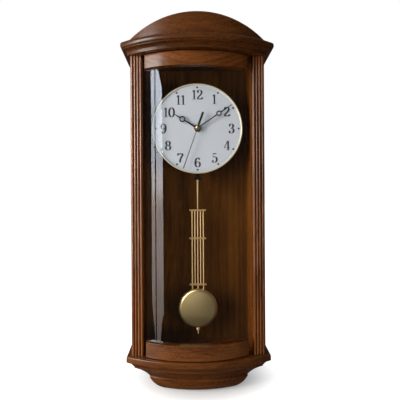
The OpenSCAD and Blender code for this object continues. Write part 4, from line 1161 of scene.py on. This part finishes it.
def soft_box(name, place, aim, sizes, power, tint, state, pieces):
    """Soft box at a place, turned to what it lights."""
    lamp = bpy.data.lights.new(name, "AREA")
    lamp.shape = "RECTANGLE"
    lamp.size, lamp.size_y = sizes
    lamp.energy = power
    lamp.color = tint
    box = add_object(name, lamp)
    box.location = place
    box.rotation_euler = (Vector(place) - Vector(aim)).to_track_quat("Z", "Y").to_euler()
    reach(box, state, pieces)
    return box


def from_left(rise):
    """Place of the soft box on the left, raised by a share of its distance."""
    out = Vector((-math.sin(KEY_FROM), -math.cos(KEY_FROM), rise)).normalized()
    return CLOCK_MIDDLE + out * KEY_AWAY


def make_lights(key_power, inner_power):
    """Soft box on the left, and weak lights for the lacquer, the backboard and the brass."""
    soft_box("key_light", from_left(KEY_RISE), CLOCK_MIDDLE, KEY_SIZES, key_power, KEY_TINT,
             "EXCLUDE", GLASS)
    panel = soft_box("side_light", SIDE_AT, SIDE_AIM, SIDE_SIZES, SIDE_POWER, WHITE[:3],
                     "EXCLUDE", GLASS)
    panel.visible_diffuse = False
    soft_box("inner_light", INNER_AT, INNER_AIM, INNER_SIZES, inner_power, INNER_TINT,
             "INCLUDE", ["backboard_eased"])
    for name, place, sizes, power in BRASS_LIGHTS:
        soft_box(name, place, BRASS_AIM, sizes, power, BRASS_TINT, "INCLUDE", BRIGHT_BRASS)


def make_reflector_card():
    """Two tall bright panels that only the bent glass mirrors, beside its left edge."""
    points = [(x, 0.0, z) for panel in PANELS for x, z in panel]
    first = len(PANELS[0])
    mesh = bpy.data.meshes.new("soft_box_face")
    mesh.from_pydata(points, [], [range(first), range(first, len(points))])
    card = add_object("soft_box_face", mesh)
    card.location = from_left(0.0)
    card.rotation_euler = (0.0, 0.0, -KEY_FROM)
    card.visible_camera = False
    card.visible_diffuse = False
    card.visible_shadow = False
    card.visible_transmission = False
    reach(card, "INCLUDE", GLASS)
    material, tree = new_material("soft_box_face_cloth")
    where = tree.nodes.new("ShaderNodeTexCoord")
    height = parts_of(tree, where.outputs["Object"])[2]
    low, middle, high = (remap(tree, height, *step) for step in PANEL_STEPS)
    strength = maths(tree, "ADD", maths(tree, "ADD", low, middle), high)
    tint = mix_colours(tree, remap(tree, height, *PANEL_TURN), PANEL_WARM, PANEL_COOL)
    show(tree, add_node(tree, "ShaderNodeEmission", {"Color": tint, "Strength": strength}))
    mesh.materials.append(material)


def make_room(fill):
    """White wall behind the clock and a dim room in front of it."""
    world = bpy.data.worlds.new("studio")
    bpy.context.scene.world = world
    world.use_nodes = True
    tree = world.node_tree
    tree.nodes.clear()
    path = tree.nodes.new("ShaderNodeLightPath").outputs
    where = tree.nodes.new("ShaderNodeTexCoord")
    side, depth, up = parts_of(tree, where.outputs["Generated"])
    seen = maths(tree, "MAXIMUM", remap(tree, depth, *ROOM_BACK), maths(
        tree, "MAXIMUM", remap(tree, side, *ROOM_LEFT), remap(tree, up, *ROOM_TOP)))
    thrown = maths(tree, "ADD", remap(tree, side, *FILL_LEFT), remap(tree, depth, *FILL_FRONT))
    lighting = maths(tree, "MULTIPLY", thrown, fill)
    mirrored = maths(tree, "MAXIMUM", path["Is Glossy Ray"], path["Is Transmission Ray"])
    ahead = maths(tree, "MULTIPLY", path["Is Transmission Ray"], remap(tree, depth, *WALL_FROM))
    white = maths(tree, "MAXIMUM", path["Is Camera Ray"], ahead)
    level = mix_values(tree, white, mix_values(tree, mirrored, lighting, seen), 1.0)
    light = add_node(tree, "ShaderNodeBackground", {"Color": WHITE, "Strength": level})
    output = tree.nodes.new("ShaderNodeOutputWorld")
    tree.links.new(light.outputs[0], output.inputs["Surface"])


def make_floor():
    """Pale floor at the foot of the clock, which keeps its shadow and fades into the wall."""
    mesh = bpy.data.meshes.new("floor")
    corners = ((-1, -1), (1, -1), (1, 1), (-1, 1))
    mesh.from_pydata([(x * FLOOR_HALF, y * FLOOR_HALF, 0.0) for x, y in corners], [],
                     [range(len(corners))])
    floor = add_object("floor", mesh)
    floor.location.z = FLOOR_Z - FLOOR_GAP
    material, tree = new_material("floor_paper")
    path = tree.nodes.new("ShaderNodeLightPath")
    where = tree.nodes.new("ShaderNodeTexCoord")
    away = add_node(tree, "ShaderNodeVectorMath", {0: vector_maths(
        tree, "MULTIPLY", where.outputs["Object"], FLOOR_OVAL)}, operation="LENGTH")
    far = remap(tree, away.outputs["Value"], *FLOOR_FADE)
    paper = add_node(tree, "ShaderNodeBsdfDiffuse", {"Color": FLOOR_PAPER})
    glow = add_node(tree, "ShaderNodeEmission", {"Color": WHITE, "Strength": maths(
        tree, "MULTIPLY", path.outputs["Is Camera Ray"], far)})
    show(tree, add_node(tree, "ShaderNodeAddShader", {0: paper.outputs[0], 1: glow.outputs[0]}))
    floor.visible_glossy = False
    floor.visible_transmission = False
    mesh.materials.append(material)


class CLOCK_OT_stage(bpy.types.Operator):
    """Floor, room, lights and camera"""
    bl_idname = "clock.stage"
    bl_label = "Studio"

    def execute(self, context):
        """Sets up the studio that the clock is seen in."""
        looks = context.scene.clock_studio
        make_camera(looks.focal)
        make_lights(looks.key_power, looks.inner_power)
        make_reflector_card()
        make_room(looks.fill)
        make_floor()
        context.scene.view_settings.view_transform = "Standard"
        return {"FINISHED"}


OPERATORS = (CLOCK_OT_groups, CLOCK_OT_case, CLOCK_OT_mouldings, CLOCK_OT_door,
             CLOCK_OT_fittings, CLOCK_OT_movement, CLOCK_OT_dial, CLOCK_OT_hands,
             CLOCK_OT_pendulum, CLOCK_OT_stage)
SETTINGS = {"clock_wood": ClockWood, "clock_dial": ClockDial, "clock_metal": ClockMetal,
            "clock_studio": ClockStudio}


class CLOCK_PT_panel(bpy.types.Panel):
    """Lists the clock's sizes and colours, and the steps that build it"""
    bl_idname = "CLOCK_PT_panel"
    bl_label = "Clock"
    bl_space_type = "VIEW_3D"
    bl_region_type = "UI"
    bl_category = "Clock"

    def draw(self, context):
        """Draws the settings and one button for each step."""
        for name, group in SETTINGS.items():
            box = self.layout.box()
            box.label(text=group.__doc__)
            for key in group.__annotations__:
                box.prop(getattr(context.scene, name), key)
        for operator in OPERATORS:
            self.layout.operator(operator.bl_idname)


def register():
    """Registers the settings, the steps and the panel."""
    for group in SETTINGS.values():
        bpy.utils.register_class(group)
    for name, group in SETTINGS.items():
        setattr(bpy.types.Scene, name, PointerProperty(type=group))
    for operator in OPERATORS:
        bpy.utils.register_class(operator)
    bpy.utils.register_class(CLOCK_PT_panel)


def unregister():
    """Takes out what register put in."""
    bpy.utils.unregister_class(CLOCK_PT_panel)
    for operator in reversed(OPERATORS):
        bpy.utils.unregister_class(operator)
    for name, group in SETTINGS.items():
        delattr(bpy.types.Scene, name)
        bpy.utils.unregister_class(group)


def main():
    """Builds the clock and its studio."""
    register()
    for operator in OPERATORS:
        group, step = operator.bl_idname.split(".")
        getattr(getattr(bpy.ops, group), step)()


if __name__ == "__main__":
    main()
